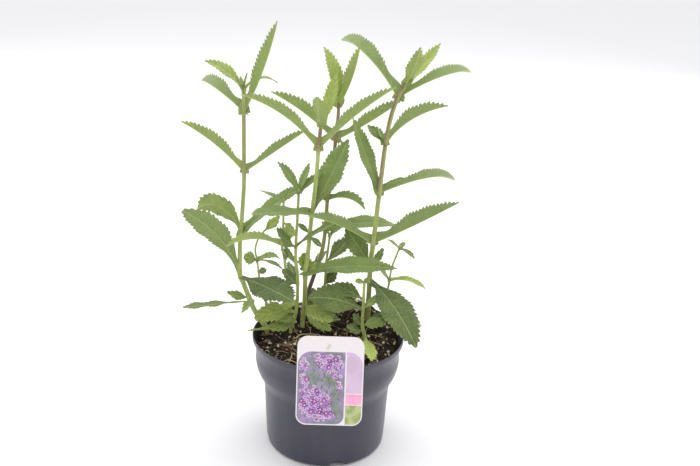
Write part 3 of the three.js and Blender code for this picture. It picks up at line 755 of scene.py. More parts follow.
    @staticmethod
    def skin(rows: int, columns: int) -> Faces:
        """List the faces of a closed blade of two grids of points.

        Args:
            rows: How many cross lines each grid has.
            columns: How many points each cross line has.

        Returns:
            The faces of both grids and of the rim between them.
        """
        size = rows * columns
        faces: Faces = []
        for row in range(rows - 1):
            first, last = row * columns, row * columns + columns - 1
            for a in range(first, last):
                b, c, d = a + 1, a + columns + 1, a + columns
                faces += [(a, b, c, d), (a + size, d + size, c + size, b + size)]
            faces.append((first, first + columns, first + columns + size, first + size))
            faces.append((last, last + size, last + columns + size, last + columns))
        for root in range(columns - 1):
            tip = (rows - 1) * columns + root
            faces.append((root, root + size, root + 1 + size, root + 1))
            faces.append((tip, tip + 1, tip + 1 + size, tip + size))
        return faces


def leaves(*rows: tuple[object, ...]) -> tuple[Leaf, ...]:
    """Read leaves from rows of form, at, heading, rise, length, width, droop, sweep, roll and tone."""
    return tuple(Leaf(*row) for row in rows)


@dataclass(frozen=True)
class Shoot:
    """A square, ridged stem with its leaves and bristles.

    path holds points of its axis from the soil up. red holds pairs of a height and how red the stem is there,
    sunless how much of that red is left on its right side, and bark the height up to which it is woody.
    """

    name: str
    thick: float
    path: tuple[Place, ...]
    leaves: tuple[Leaf, ...]
    red: Section = ((0.0, 0.0), (500.0, 0.0))
    sunless: float = 1.0
    bark: float = 0.0
    seed: int = 0

    BED = 20.0
    TAPER = 0.25
    GROWING_TIP = 4.0
    GROWING_TIP_WIDTH = 1.6
    TIP_RINGS = 4
    SIDES = 24
    SQUARENESS = 7.0
    GROOVE = 0.07
    NODE_GRID = 6
    NODE_SWELLING = 0.16
    NODE_SPREAD = 2.6
    RING_STEP = 1.6
    RED_SIDE_FADE = 0.3
    BARK_FADE = (12, 6)
    BRISTLES_PER_MM = 3.2
    BRISTLE_SPREAD = 0.8
    BRISTLE_ROOT = 0.93
    BRISTLE_LEANS = (-0.1, 0.5)
    BRISTLE_LENGTHS = (0.5, 1.1)
    BRISTLE_WIDTH = 0.06
    BRISTLE_FACES = ((0, 1, 3), (1, 2, 3), (2, 0, 3), (0, 2, 1))

    def axis_at(self, heights: np.ndarray) -> np.ndarray:
        """Find points of the stem's axis.

        Args:
            heights: Their heights.

        Returns:
            One point for each height.
        """
        path = np.array(self.path)
        heights = np.asarray(heights, float)
        x, y = (smooth_line(path[:, 2], path[:, i], heights) for i in (0, 1))
        return np.stack([x, y, heights], axis=-1)

    def skeleton(self) -> tuple[np.ndarray, np.ndarray, np.ndarray, np.ndarray]:
        """Lay out the stem, from its foot in the soil to its growing tip.

        Returns:
            The points of its axis, the two directions across it, and half the width between two flat sides.
        """
        low, top = self.path[0][2], self.path[-1][2]
        foot = low - self.BED
        points = self.axis_at(np.linspace(foot, top, round((top - foot) / self.RING_STEP) + 1))
        last = unit(points[-1] - points[-4])
        tip = points[-1] + last * np.linspace(0, self.GROWING_TIP, self.TIP_RINGS + 1)[1:, None]
        points = np.vstack([points, tip])
        along = unit(np.gradient(points, axis=0))
        helper = np.array([0.0, 1.0, 0.0])
        side = unit(helper - along * (along @ helper)[:, None])
        heights = points[:, 2]
        half = self.thick / 2 * (1 - self.TAPER * np.clip((heights - low) / (top - low), 0, 1))
        nodes = np.array(sorted({round(leaf.at / self.NODE_GRID) * self.NODE_GRID for leaf in self.leaves}))
        swelling = np.exp(-(((heights[:, None] - nodes) / self.NODE_SPREAD) ** 2)).max(axis=1)
        half = half * (1 + self.NODE_SWELLING * swelling)
        end = np.clip((heights - top) / self.GROWING_TIP, 0, 1)
        return points, np.cross(side, along), side, half + (self.GROWING_TIP_WIDTH / 2 - half) * end

    def squared(self, c: np.ndarray, s: np.ndarray) -> np.ndarray:
        """Give the reach of a rounded square at the angles of some cosines and sines."""
        return (abs(c) ** self.SQUARENESS + abs(s) ** self.SQUARENESS) ** (-1 / self.SQUARENESS)

    def make_stem(self) -> None:
        """Make the stem, with its four ridges and the grooves between them."""
        points, across, side, half = self.skeleton()
        angle = circle(self.SIDES)
        c, s = np.cos(angle), np.sin(angle)
        square = self.squared(c, s) * (1 - self.GROOVE * np.cos(2 * angle) ** 2)
        ring = across[:, None] * (square * c)[None, :, None] + side[:, None] * (square * s)[None, :, None]
        heights = np.repeat(points[:, 2], self.SIDES)
        right_side = np.tile(smooth_step(c, -self.RED_SIDE_FADE, self.RED_SIDE_FADE), len(points))
        red = np.interp(heights, *np.array(self.red).T) * (1 - (1 - self.sunless) * right_side)
        below, above = self.BARK_FADE
        wood = 1 - smooth_step(heights, self.bark - below, self.bark + above) if self.bark else 0.0
        ridge = np.tile(np.sin(2 * angle) ** 8, len(points))
        draft = MeshDraft()
        skin = points[:, None] + ring * half[:, None, None]
        draft.add(skin, tube_faces(len(points), self.SIDES), red=red, ridge=ridge, bark=wood)
        settle(draft.make(f"{self.name}_stem", [Coat.STEM], 50.0), "foliage")

    def make_bristles(self) -> None:
        """Make short bristles, which stand out from the stem and lean a little down."""
        rng = np.random.default_rng(900 + self.seed)
        points, across, side, half = self.skeleton()
        along = unit(np.gradient(points, axis=0))
        first = int(self.BED / self.RING_STEP) + 2
        draft = MeshDraft()
        for _ in range(int((points[-1, 2] - points[first, 2]) * self.BRISTLES_PER_MM)):
            i = int(rng.integers(first, len(points) - 5))
            turn = rng.uniform(0, TURN)
            out = across[i] * math.cos(turn) + side[i] * math.sin(turn)
            depth = half[i] * (self.squared(math.cos(turn), math.sin(turn)) * self.BRISTLE_ROOT)
            shift = rng.uniform(-self.BRISTLE_SPREAD, self.BRISTLE_SPREAD)
            start = points[i] + out * depth + along[i] * shift
            lean = along[i] * rng.uniform(*self.BRISTLE_LEANS)
            end = start + unit(out - lean) * rng.uniform(*self.BRISTLE_LENGTHS)
            wide = unit(np.cross(out, along[i])) * self.BRISTLE_WIDTH
            low, tall = start - wide * 0.5, along[i] * 0.05
            draft.add([start + wide, low + tall, low - tall, end], self.BRISTLE_FACES)
        settle(draft.make(f"{self.name}_bristles", [Coat.BRISTLE]), "foliage")

    def make(self) -> None:
        """Make the shoot's leaves, stem and bristles."""
        blades = MeshDraft()
        for index, leaf in enumerate(self.leaves):
            leaf.add_to(blades, self.axis_at([leaf.at])[0], self.seed * 31 + index)
        settle(blades.make(f"{self.name}_leaves", [Coat.LEAF], 60.0), "foliage", f"stem_{self.name}")
        self.make_stem()
        self.make_bristles()


LANCE, KEEL, OVATE, SPOON, BUD = LeafForm

SHOOTS = (
    Shoot("left_tall", 5.2, (
        (-70, 14, 129), (-85, 22, 148), (-90, 24, 159), (-98, 27, 179), (-102, 28, 189), (-102, 28, 219),
        (-101, 28, 238), (-99, 28, 266), (-97, 27, 307), (-97, 24, 378), (-97, 23, 402),
    ), leaves(
        (SPOON, 158, 170, -10, 82, 14, 5, 0, 50, 0.35),
        (OVATE, 160, 290, 32, 38, 11, 65, -60, 5, 0.72),
        (OVATE, 162, 200, 11, 27, 12, -20, -5, -30, 0.62),
        (OVATE, 186, 322, 1, 89, 40, 0, -15, 15, 0.12),
        (SPOON, 189, 212, 75, 107, 35, 45, -20, 55, 0.5),
        (OVATE, 238, 160, 80, 74, 30, 125, -15, 75, 0.8),
        (LANCE, 238, 8, 49, 102, 20, 20, -15, 25, 0.5),
        (KEEL, 311, 205, 52, 96, 19, 20, 10, 35, 0.75),
        (KEEL, 311, 15, 33, 84, 16, 0, 0, -60, 0.52),
        (KEEL, 378, 355, 63, 104, 20, -15, 0, -35, 0.72),
        (KEEL, 379, 150, 34, 97, 23, 50, -45, 75, 0.3),
        (LANCE, 402, 205, 61, 53, 15, 45, -15, -40, 0.75),
        (LANCE, 402, 30, 53, 46, 7, 95, 5, 10, 0.75),
        (BUD, 402, 130, 66, 15, 5, 5, 0, 0, 0.69),
        (BUD, 402, 300, 71, 22, 5, 10, 0, 75, 0.69),
    ), red=((300, 0), (316, 0.45), (372, 0.4), (384, 0), (500, 0)), seed=1),
    Shoot("middle_tall", 5.4, (
        (-30, 24, 133), (-28, 22, 162), (-28, 20, 199), (-26, 19, 215), (-24, 18, 245), (-22, 17, 270),
        (-18, 15, 320), (-17, 15, 343), (-15, 15, 370),
    ), leaves(
        (OVATE, 147, 325, -20, 40, 22, -5, 0, 5, 0.8),
        (OVATE, 155, 310, 16, 49, 30, 35, 0, 15, 0.8),
        (OVATE, 195, 20, 69, 19, 12, 45, -5, 40, 0.7),
        (OVATE, 198, 110, 62, 22, 16, -30, 0, 5, 0.75),
        (LANCE, 199, 352, 17, 104, 26, 20, 0, 25, 0.4),
        (OVATE, 203, 40, 11, 23, 10, 20, -5, 15, 0.25),
        (OVATE, 243, 330, -41, 19, 8, -20, 5, 20, 0.4),
        (OVATE, 245, 150, 31, 17, 8, 5, 0, -20, 0.3),
        (OVATE, 270, 28, 62, 89, 34, 0, 0, 15, 0.45),
        (LANCE, 270, 216, 14, 104, 20, 0, 35, -20, 0.45),
        (KEEL, 343, 184, 54, 105, 19, 35, 20, 45, 0.7),
        (KEEL, 343, 356, 50, 107, 19, 15, -5, -45, 0.7),
        (LANCE, 369, 265, 40, 74, 18, 5, 5, -30, 0.85),
        (LANCE, 370, 35, 64, 58, 16, -15, -5, 25, 0.85),
    ), red=((336, 0), (348, 0.8), (500, 0.8)), seed=2),
    Shoot("woody", 4.8, (
        (-31, 40, 138), (-28, 41, 153), (-21, 43, 176), (-14, 45, 200), (-9, 46, 221), (-7, 47, 245),
        (-6, 48, 274), (0, 50, 330), (1, 50, 344), (3, 50, 377), (3, 50, 384),
    ), leaves(
        (OVATE, 138, 335, -5, 49, 14, -15, 0, 15, 0.3),
        (OVATE, 138, 40, 57, 31, 14, 0, 0, 20, 0.3),
        (LANCE, 241, 6, 14, 97, 20, 40, 40, 25, 0.4),
        (KEEL, 274, 350, 34, 48, 16, 80, -15, -60, 0.46),
        (OVATE, 274, 160, 37, 19, 9, -30, 0, -20, 0.46),
        (KEEL, 343, 172, 45, 88, 22, 20, 5, 55, 0.7),
        (KEEL, 344, 12, 25, 89, 20, -15, -10, -60, 0.7),
        (KEEL, 383, 320, 56, 74, 18, -25, -5, -5, 0.9),
        (LANCE, 384, 140, 90, 64, 16, 40, 10, -30, 0.85),
    ), red=((150, 0.6), (300, 0.5), (350, 0.8), (500, 0.85)), bark=200.0, seed=3),
    Shoot("right_tall", 5.8, (
        (45, 36, 138), (45, 35, 184), (45, 35, 201), (47, 34, 229), (51, 33, 290), (55, 32, 347),
        (59, 31, 376), (65, 30, 398), (73, 30, 413),
    ), leaves(
        (OVATE, 134, 320, 32, 26, 18, 55, 0, 35, 0.3),
        (OVATE, 158, 30, 2, 19, 8, -35, 10, 5, 0.25),
        (LANCE, 180, 330, -18, 78, 10, 15, -5, 5, 0.29),
        (OVATE, 185, 305, -10, 105, 38, 30, -5, 10, 0.16),
        (OVATE, 201, 40, 29, 26, 9, -25, 5, 30, 0.33),
        (OVATE, 204, 150, 45, 49, 26, -5, 0, -30, 0.3),
        (KEEL, 229, 178, 35, 98, 20, 15, 60, 50, 0.38),
        (KEEL, 230, 335, 32, 117, 27, -5, 0, -45, 0.38),
        (LANCE, 290, 168, 68, 89, 20, 0, 0, -35, 0.49),
        (KEEL, 290, 20, 20, 135, 19, 50, 45, -60, 0.3),
        (OVATE, 293, 330, 43, 37, 9, 20, -5, 45, 0.49),
        (KEEL, 347, 325, 57, 89, 22, 40, 10, -40, 0.59),
        (LANCE, 347, 140, 35, 30, 15, 10, 0, -10, 0.3),
        (BUD, 347, 130, 41, 19, 7, -5, 0, -5, 0.59),
        (KEEL, 398, 150, 57, 133, 25, 75, -50, 80, 0.35),
        (KEEL, 398, 15, 32, 121, 19, 50, 50, -65, 0.45),
        (LANCE, 413, 300, 52, 49, 17, -20, 0, -5, 0.8),
        (LANCE, 413, 20, 46, 56, 15, -5, 0, 25, 0.85),
    ), red=((130, 0.6), (160, 0.45), (200, 0.1), (260, 0.2), (300, 0.7), (380, 0.9), (500, 0.9)),
        sunless=0.25, seed=4),
    Shoot("thin_left", 3.0, (
        (-43, 30, 135), (-45, 24, 161), (-50, 15, 204), (-52, 13, 221), (-54, 12, 232), (-53, 12, 260),
        (-53, 12, 284),
    ), leaves(
        (OVATE, 212, 160, 123, 18, 8, 100, 15, -35, 0.25),
        (KEEL, 232, 182, 31, 64, 16, 60, 15, 60, 0.85),
        (OVATE, 232, 60, 27, 28, 16, -50, 15, -10, 0.95),
        (OVATE, 260, 330, -22, 20, 11, 40, -5, 10, 0.85),
        (LANCE, 284, 165, 28, 29, 6, 20, 0, -10, 0.48),
        (BUD, 284, 345, 51, 16, 5, -20, 0, 65, 0.48),
    ), seed=5),
    Shoot("wisp", 2.4, (
        (-64, 34, 137), (-78, 38, 163), (-84, 44, 200), (-86, 44, 213), (-83, 44, 226), (-77, 44, 235),
    ), leaves(
        (OVATE, 184, 10, 63, 10, 12, 80, -10, 25, 0.3),
        (OVATE, 200, 190, 18, 16, 18, -5, 0, -40, 0.7),
        (LANCE, 200, 20, 35, 31, 10, 80, 15, 20, 0.7),
        (LANCE, 200, 340, 16, 36, 6, 50, -10, 5, 0.33),
        (OVATE, 235, 30, 32, 26, 12, -15, 0, 25, 0.9),
    ), seed=6),
    Shoot("short_left", 3.8, (
        (-43, 14, 129), (-39, 14, 143), (-36, 14, 166), (-36, 14, 191), (-39, 15, 218), (-39, 16, 229),
        (-38, 16, 261), (-37, 16, 294),
    ), leaves(
        (OVATE, 138, 225, 4, 33, 15, 5, 0, -30, 0.6),
        (OVATE, 143, 215, 27, 24, 16, 35, 5, -30, 0.65),
        (LANCE, 144, 209, -22, 56, 9, -25, -20, 0, 0.75),
        (OVATE, 151, 190, 14, 48, 26, 40, 10, -30, 0.8),
        (OVATE, 166, 230, 11, 27, 14, 30, 15, -10, 0.85),
        (OVATE, 184, 215, 48, 31, 15, 0, 0, -60, 0.2),
        (OVATE, 187, 110, 11, 43, 11, 0, -5, 10, 0.2),
        (OVATE, 208, 150, 51, 25, 8, 0, 0, -15, 0.6),
        (OVATE, 229, 222, 34, 40, 18, -25, 0, -50, 0.38),
        (LANCE, 229, 325, 50, 59, 9, 25, 30, 30, 0.38),
        (LANCE, 294, 170, 63, 40, 14, 20, 0, -25, 0.49),
        (LANCE, 294, 60, 48, 34, 12, -10, 0, -15, 0.49),
        (LANCE, 294, 35, 32, 33, 11, 0, 0, 10, 0.49),
    ), seed=7),
    Shoot("short_back", 3.2, (
        (-7, 66, 144), (-6, 66, 162), (-5, 66, 191), (-3, 66, 213), (-2, 66, 224),
    ), leaves(
        (OVATE, 162, 10, 60, 21, 14, 20, 0, 60, 0.2),
        (OVATE, 191, 20, 44, 41, 22, -5, 0, -75, 0.25),
        (OVATE, 206, 200, -33, 20, 12, 20, 0, -20, 0.3),
        (OVATE, 224, 160, 62, 19, 8, 10, 0, -15, 0.37),
        (LANCE, 224, 10, 59, 19, 10, 40, -5, 20, 0.37),
    ), seed=8),
    Shoot("short_right", 2.6, (
        (62, 34, 138), (65, 36, 162), (68, 37, 184), (69, 37, 196), (74, 37, 214), (77, 37, 223),
    ), leaves(
        (LANCE, 183, 350, 28, 45, 10, 65, -15, 10, 0.85),
        (LANCE, 183, 170, 52, 19, 7, 0, 0, -20, 0.7),
        (LANCE, 223, 170, 52, 17, 5, 35, 5, -20, 0.7),
        (LANCE, 223, 340, 1, 21, 6, 50, -10, 20, 0.37),
        (BUD, 223, 60, 17, 14, 6, 10, 0, 15, 0.37),
    ), seed=9),
    Shoot("front", 3.8, (
        (42, 4, 126), (38, 5, 142), (38, 5, 160), (38, 5, 185), (38, 5, 192),
    ), leaves(
        (OVATE, 128, 277, 5, 69, 17, 0, -5, -15, 0.95),
        (OVATE, 134, 210, 18, 24, 14, -15, 0, -35, 0.21),
        (OVATE, 139, 150, 40, 18, 12, -15, 0, -20, 0.22),
        (OVATE, 140, 350, 42, 26, 18, 60, -10, 25, 0.6),
        (OVATE, 160, 185, 34, 65, 36, 40, 0, -35, 0.2),
        (OVATE, 160, 20, 53, 24, 12, 35, -5, 10, 0.7),
        (OVATE, 173, 150, 18, 39, 20, 5, 0, -20, 0.28),
        (OVATE, 192, 190, 64, 13, 8, 85, 30, -25, 0.8),
        (OVATE, 192, 10, 97, 9, 8, 145, -20, 20, 0.8),
    ), seed=10),
)


@dataclass(frozen=True)
class Pot:
    """A thin-walled nursery pot with a lip, a collar, a shoulder and cut-outs in its foot.

    side is the outside of the wall under the lip, as pairs of radius and height.
    """

    height: float = 133.0
    lip_radius: float = 85.0
    lip_band: float = 5.0
    lip_rounding: float = 0.7
    wall: float = 1.5
    side: Section = (
        (62.5, 0), (65.4, 1), (67.2, 3.4), (67.8, 8), (71, 70), (72.2, 77), (75, 84), (78.2, 90.5),
        (80.4, 98), (81.2, 105), (80.8, 112), (81.6, 119), (83.6, 126),
    )
    drain_count: int = 4
    drain_width: float = 17.0
    drain_top_width: float = 11.0
    drain_height: float = 7.5
    drain_depth: float = 12.0
    drain_heading: float = -78.0
    groove_height: float = 74.5
    groove_depth: float = 0.3
    groove_width: float = 1.2

    SIDES = 160
    UNDER_LIP = 126
    LIP_WEAR = 3
    CREASE = 32
    FOOT_HEIGHTS = (0, 0.4, 1, 1.8, 2.6, 3.4, 5, 8)

    def radius_at(self, heights: np.ndarray) -> np.ndarray:
        """Give the outer radius of the wall at some heights."""
        side = np.array(self.side)
        return smooth_line(side[:, 1], side[:, 0], heights)

    def wall_line(self, inset: float) -> np.ndarray:
        """Lay out the wall, moved in by an inset, with a floor as thick as it.

        Args:
            inset: How far in from the outside it lies.

        Returns:
            Rows of radius and height.
        """
        levels = [self.FOOT_HEIGHTS, np.arange(14, 68, 6), np.arange(70, self.UNDER_LIP + 1, 2)]
        heights = np.unique(np.concatenate(levels))
        line = np.stack([self.radius_at(heights) - inset, np.maximum(heights, inset)], axis=-1)
        return line[heights >= inset]

    def corner(self, radius: float, height: float, start: float) -> list[tuple[float, float]]:
        """Round a corner of the lip over a quarter turn from a start angle in degrees."""
        r, turns = self.lip_rounding, np.radians(start + np.arange(0, 91, 22.5))
        return [(radius + r * math.cos(t), height + r * math.sin(t)) for t in turns]

    def profile(self) -> np.ndarray:
        """Lay out the whole section of the pot, from the axis under the floor to the axis above it.

        Returns:
            Rows of radius and height.
        """
        r, top = self.lip_rounding, self.height
        outer = self.wall_line(0.0)
        offset = (outer[:, 1] - self.groove_height) / self.groove_width
        outer[:, 0] -= self.groove_depth * np.exp(-(offset**2))
        lip = [
            *self.corner(self.lip_radius - r, top - self.lip_band + r, -90),
            *self.corner(self.lip_radius - r, top - r, 0),
            *self.corner(self.lip_radius - self.wall + r, top - r, 90),
        ]
        under = [(radius, 0.0) for radius in (0, 20, 45, 58)]
        inside = [(radius, self.wall) for radius in (60, 40, 15, 0)]
        return np.array([*under, *outer, *lip, *self.wall_line(self.wall)[::-1], *inside])

    def add_drain(self, draft: MeshDraft, number: int, margin: float) -> None:
        """Add the block that one cut-out takes out of the foot.

        Args:
            draft: The mesh that is being gathered.
            number: The number of the cut-out.
            margin: How much the block is grown all round.
        """
        turn = math.radians(self.drain_heading + number * 360 / self.drain_count)
        out = np.array([math.cos(turn), math.sin(turn), 0.0])
        aside = np.array([-math.sin(turn), math.cos(turn), 0.0])
        reach, depth = self.side[2][0], self.drain_depth + margin
        wide, narrow = self.drain_width, self.drain_top_width
        corners = []
        for z, width in ((-self.drain_height, wide), (0.0, wide), (self.drain_height + margin, narrow)):
            for u, v in ((-1, -1), (1, -1), (1, 1), (-1, 1)):
                corners.append(out * (reach + u * depth) + aside * v * (width / 2 + margin) + UP * z)
        faces = [(0, 3, 2, 1), (8, 9, 10, 11), *around(0, 4, 4), *around(4, 4, 4)]
        draft.add(corners, faces, soiled=0.5, scuff=0.0)

    def cut_drains(self, piece: bpy.types.Object, coat: Coat, margin: float) -> None:
        """Cut the drains out of a piece.

        Args:
            piece: The piece.
            coat: The finish of the cut faces.
            margin: How much the drains are grown all round.
        """
        cutters = MeshDraft()
        for number in range(self.drain_count):
            self.add_drain(cutters, number, margin)
        cutter = cutters.make("drain_cutter", [coat])
        cut = piece.modifiers.new("drains", "BOOLEAN")
        cut.operation, cut.solver, cut.object = "DIFFERENCE", "EXACT", cutter
        graph = bpy.context.evaluated_depsgraph_get()
        piece.data = bpy.data.meshes.new_from_object(piece.evaluated_get(graph))
        piece.modifiers.clear()
        bpy.data.objects.remove(cutter)

    def make(self) -> None:
        """Make the pot, with a worn lip and soil on its inside."""
        points, faces = lathe(self.profile(), self.SIDES)
        heights = points[:, 2]
        wall_middle = self.radius_at(np.clip(heights, 0, self.UNDER_LIP)) - self.wall / 2
        inside = np.hypot(points[:, 0], points[:, 1]) < wall_middle
        lip = smooth_step(heights, self.height - self.LIP_WEAR, self.height)
        draft = MeshDraft()
        draft.add(points, faces, soiled=np.where(inside, 0.9, 0.15 + 0.55 * lip), scuff=lip)
        pot = draft.make("nursery_pot", [Coat.POT])
        self.cut_drains(pot, Coat.POT, 0.0)
        pot.data.set_sharp_from_angle(angle=math.radians(self.CREASE))
        settle(pot, "pot_plastic", "pot")


@dataclass(frozen=True)
class Soil:
    """Peat that fills the pot and mounds up to the back, with crumbs, pale grains, bark and dry roots.

    hump holds the place, the height and the two widths of one more rise.
    """

    pot: Pot
    clearance: float = 0.3
    level: float = 121.0
    edge: float = 119.0
    mound_height: float = 19.0
    mound_front: float = -5.0
    mound_back: float = 62.0
    slump_width: float = 14.0
    slump_front: float = 2.0
    slump_back: float = 6.0
    lump_height: float = 0.9
    lump_pitch: float = 24.0
    hump: tuple[float, float, float, float, float] = (30.0, 62.0, 8.0, 22.0, 16.0)
    crumb_count: int = 1500
    grain_count: int = 420
    bark_count: int = 150
    root_count: int = 120

    SECTORS = 168
    RINGS = 60
    CLOD_HEIGHT = 1.5
    CLOD_SIZE = 7.0
    GRIT_REACH, BARK_REACH, ROOT_REACH = 0.97, 0.93, 0.9
    CRUMB_SIZES = (0.5, 1.9)
    GRAIN_SIZE, GRAIN_RANGE = 0.55, 1.9
    BARK_LENGTHS = (1.6, 5.5)
    BARK_THICKNESS = 0.5
    ROOT_STEP = 2.0
    ROOT_STEPS = (7, 20)
    ROOT_THICKNESS, ROOT_RANGE = 0.2, 0.8
    ROOT_RISE = 4.5
    ROOT_WANDER = 0.22
    ROOT_BEND = 0.12
    WALL_GAP = 1.5

    @property
    def radius(self) -> float:
        """Give the radius at which the surface meets the wall."""
        return float(self.pot.radius_at(np.array([self.edge]))[0]) - self.pot.wall - self.clearance

    def height_at(self, x: np.ndarray, y: np.ndarray) -> np.ndarray:
        """Find the surface without its clods: level in front, mounded behind and lower at the wall.

        Args:
            x: The places across.
            y: The places towards the back.

        Returns:
            The height at each place.
        """
        back = smooth_step(y, self.mound_front, self.mound_back)
        slump = self.slump_front + (self.slump_back - self.slump_front) * back
        slump = slump * smooth_step(np.hypot(x, y), self.radius - self.slump_width, self.radius)
        hump_x, hump_y, tall, wide, deep = self.hump
        peak = tall * np.exp(-(((x - hump_x) / wide) ** 2) - ((y - hump_y) / deep) ** 2)
        wave = TURN / self.lump_pitch
        lumps = self.lump_height * np.sin(wave * (x + 0.4 * y)) * np.cos(wave * (y - 0.3 * x))
        return self.level + self.mound_height * back + peak + lumps - slump

    def rough_height_at(self, x: float, y: float) -> float:
        """Give the height of the surface at one place, with its clods."""
        clods = noise.fractal(Vector((x / self.CLOD_SIZE, y / self.CLOD_SIZE, 0.0)), 1.0, 2.1, 4)
        return float(self.height_at(np.array([x]), np.array([y]))[0]) + self.CLOD_HEIGHT * clods

    def make_bed(self) -> None:
        """Make the peat as one closed form."""
        inset = self.pot.wall + self.clearance
        side = self.pot.wall_line(inset)
        side = side[side[:, 1] < self.edge - 1]
        cover = [[self.radius * (1 - i / self.RINGS), self.edge] for i in range(self.RINGS)]
        points, faces = lathe(np.array([[0, inset], *side, *cover, [0, self.edge]]), self.SECTORS)
        top = points[:, 2] == self.edge
        points[top, 2] = [self.rough_height_at(x, y) for x, y in points[top, :2]]
        draft = MeshDraft()
        draft.add(points, faces, tone=0.0)
        bed = draft.make("peat_bed", [Coat.SOIL])
        self.pot.cut_drains(bed, Coat.SOIL, self.clearance)
        settle(bed, "potting_soil", "soil")

    def scatter(self, rng: np.random.Generator, count: int, reach: float) -> np.ndarray:
        """Pick places on the surface.

        Args:
            rng: The source of the draws.
            count: How many places.
            reach: The share of the radius that they keep within.

        Returns:
            One point for each place.
        """
        far = np.sqrt(rng.uniform(0, 1, count)) * self.radius * reach
        turn = rng.uniform(0, TURN, count)
        x, y = far * np.cos(turn), far * np.sin(turn)
        return np.array([[a, b, self.rough_height_at(a, b)] for a, b in zip(x, y)])

    @staticmethod
    def pebble(rng: np.random.Generator, centre: np.ndarray, size: np.ndarray) -> Form:
        """Shape one uneven grain.

        Args:
            rng: The source of the draws.
            centre: Where it lies.
            size: Its half length along its own three axes.

        Returns:
            Its points and its faces.
        """
        g = (1 + math.sqrt(5)) / 2
        base = np.array(
            [[-1, g, 0], [1, g, 0], [-1, -g, 0], [1, -g, 0], [0, -1, g], [0, 1, g],
             [0, -1, -g], [0, 1, -g], [g, 0, -1], [g, 0, 1], [-g, 0, -1], [-g, 0, 1]]
        ) / math.sqrt(1 + g * g)
        faces = [
            (0, 11, 5), (0, 5, 1), (0, 1, 7), (0, 7, 10), (0, 10, 11), (1, 5, 9), (5, 11, 4), (11, 10, 2),
            (10, 7, 6), (7, 1, 8), (3, 9, 4), (3, 4, 2), (3, 2, 6), (3, 6, 8), (3, 8, 9), (4, 9, 5),
            (2, 4, 11), (6, 2, 10), (8, 6, 7), (9, 8, 1),
        ]
        shaped = base * rng.uniform(0.72, 1.25, (12, 1)) * size
        turn, tilt = rng.uniform(0, TURN), rng.uniform(-0.5, 0.5)
        spin = np.array(Matrix.Rotation(turn, 3, "Z") @ Matrix.Rotation(tilt, 3, "X"))
        return shaped @ spin.T + centre, faces

    def make_grains(self) -> None:
        """Make the crumbs of peat, the pale grains and the bits of bark."""
        rng = np.random.default_rng(41)
        crumbs, grains, bark = MeshDraft(), MeshDraft(), MeshDraft()
        for place in self.scatter(rng, self.crumb_count, self.GRIT_REACH):
            size = rng.uniform(*self.CRUMB_SIZES) * rng.uniform(0.6, 1.0, 3)
            crumbs.add(*self.pebble(rng, place + UP * size[2] * 0.2, size), tone=rng.uniform(-0.6, 1.0))
        for place in self.scatter(rng, self.grain_count, self.GRIT_REACH):
            size = (self.GRAIN_SIZE + self.GRAIN_RANGE * rng.uniform(0, 1) ** 2.0) * rng.uniform(0.7, 1.0, 3)
            grains.add(*self.pebble(rng, place + UP * size[2] * 0.5, size), tone=rng.uniform(0, 1))
        for place in self.scatter(rng, self.bark_count, self.BARK_REACH):
            long = rng.uniform(*self.BARK_LENGTHS)
            size = np.array([long, long * rng.uniform(0.25, 0.6), self.BARK_THICKNESS])
            bark.add(*self.pebble(rng, place + UP * self.BARK_THICKNESS, size), tone=rng.uniform(0, 1))
        settle(crumbs.make("peat_crumbs", [Coat.SOIL], 40.0), "potting_soil")
        settle(grains.make("pale_grains", [Coat.GRAIN], 50.0), "potting_soil")
        settle(bark.make("bark_bits", [Coat.BARK], 30.0), "potting_soil")

    def make_roots(self) -> None:
        """Make the dry roots and fibres that lie on the peat."""
        rng = np.random.default_rng(77)
        roots = MeshDraft()
        for place in self.scatter(rng, self.root_count, self.ROOT_REACH):
            steps = int(rng.integers(*self.ROOT_STEPS))
            turn, bend = rng.uniform(0, TURN), rng.uniform(-self.ROOT_BEND, self.ROOT_BEND)
            path = [place[:2]]
            for _ in range(steps):
                turn += bend + rng.uniform(-self.ROOT_WANDER, self.ROOT_WANDER)
                path.append(path[-1] + self.ROOT_STEP * np.array([math.cos(turn), math.sin(turn)]))
            line = np.array([p for p in path if math.hypot(*p) < self.radius - self.WALL_GAP])
            if len(line) < 5:
                continue
            thick = self.ROOT_THICKNESS + self.ROOT_RANGE * rng.uniform(0, 1) ** 1.8
            rise = 0.4 + rng.uniform(0, self.ROOT_RISE) * np.sin(np.linspace(0, math.pi, len(line)))
            height = np.array([self.rough_height_at(x, y) for x, y in line]) + rise
            radii = thick * np.linspace(1, 0.4, len(line))
            roots.add(*tube(np.column_stack([line, height]), radii, 5), tone=rng.uniform(0, 1))
        settle(roots.make("dry_roots", [Coat.ROOT]), "potting_soil")

    def make(self) -> None:
        """Make the peat and all that lies on it."""
        self.make_bed()
        self.make_grains()
        self.make_roots()


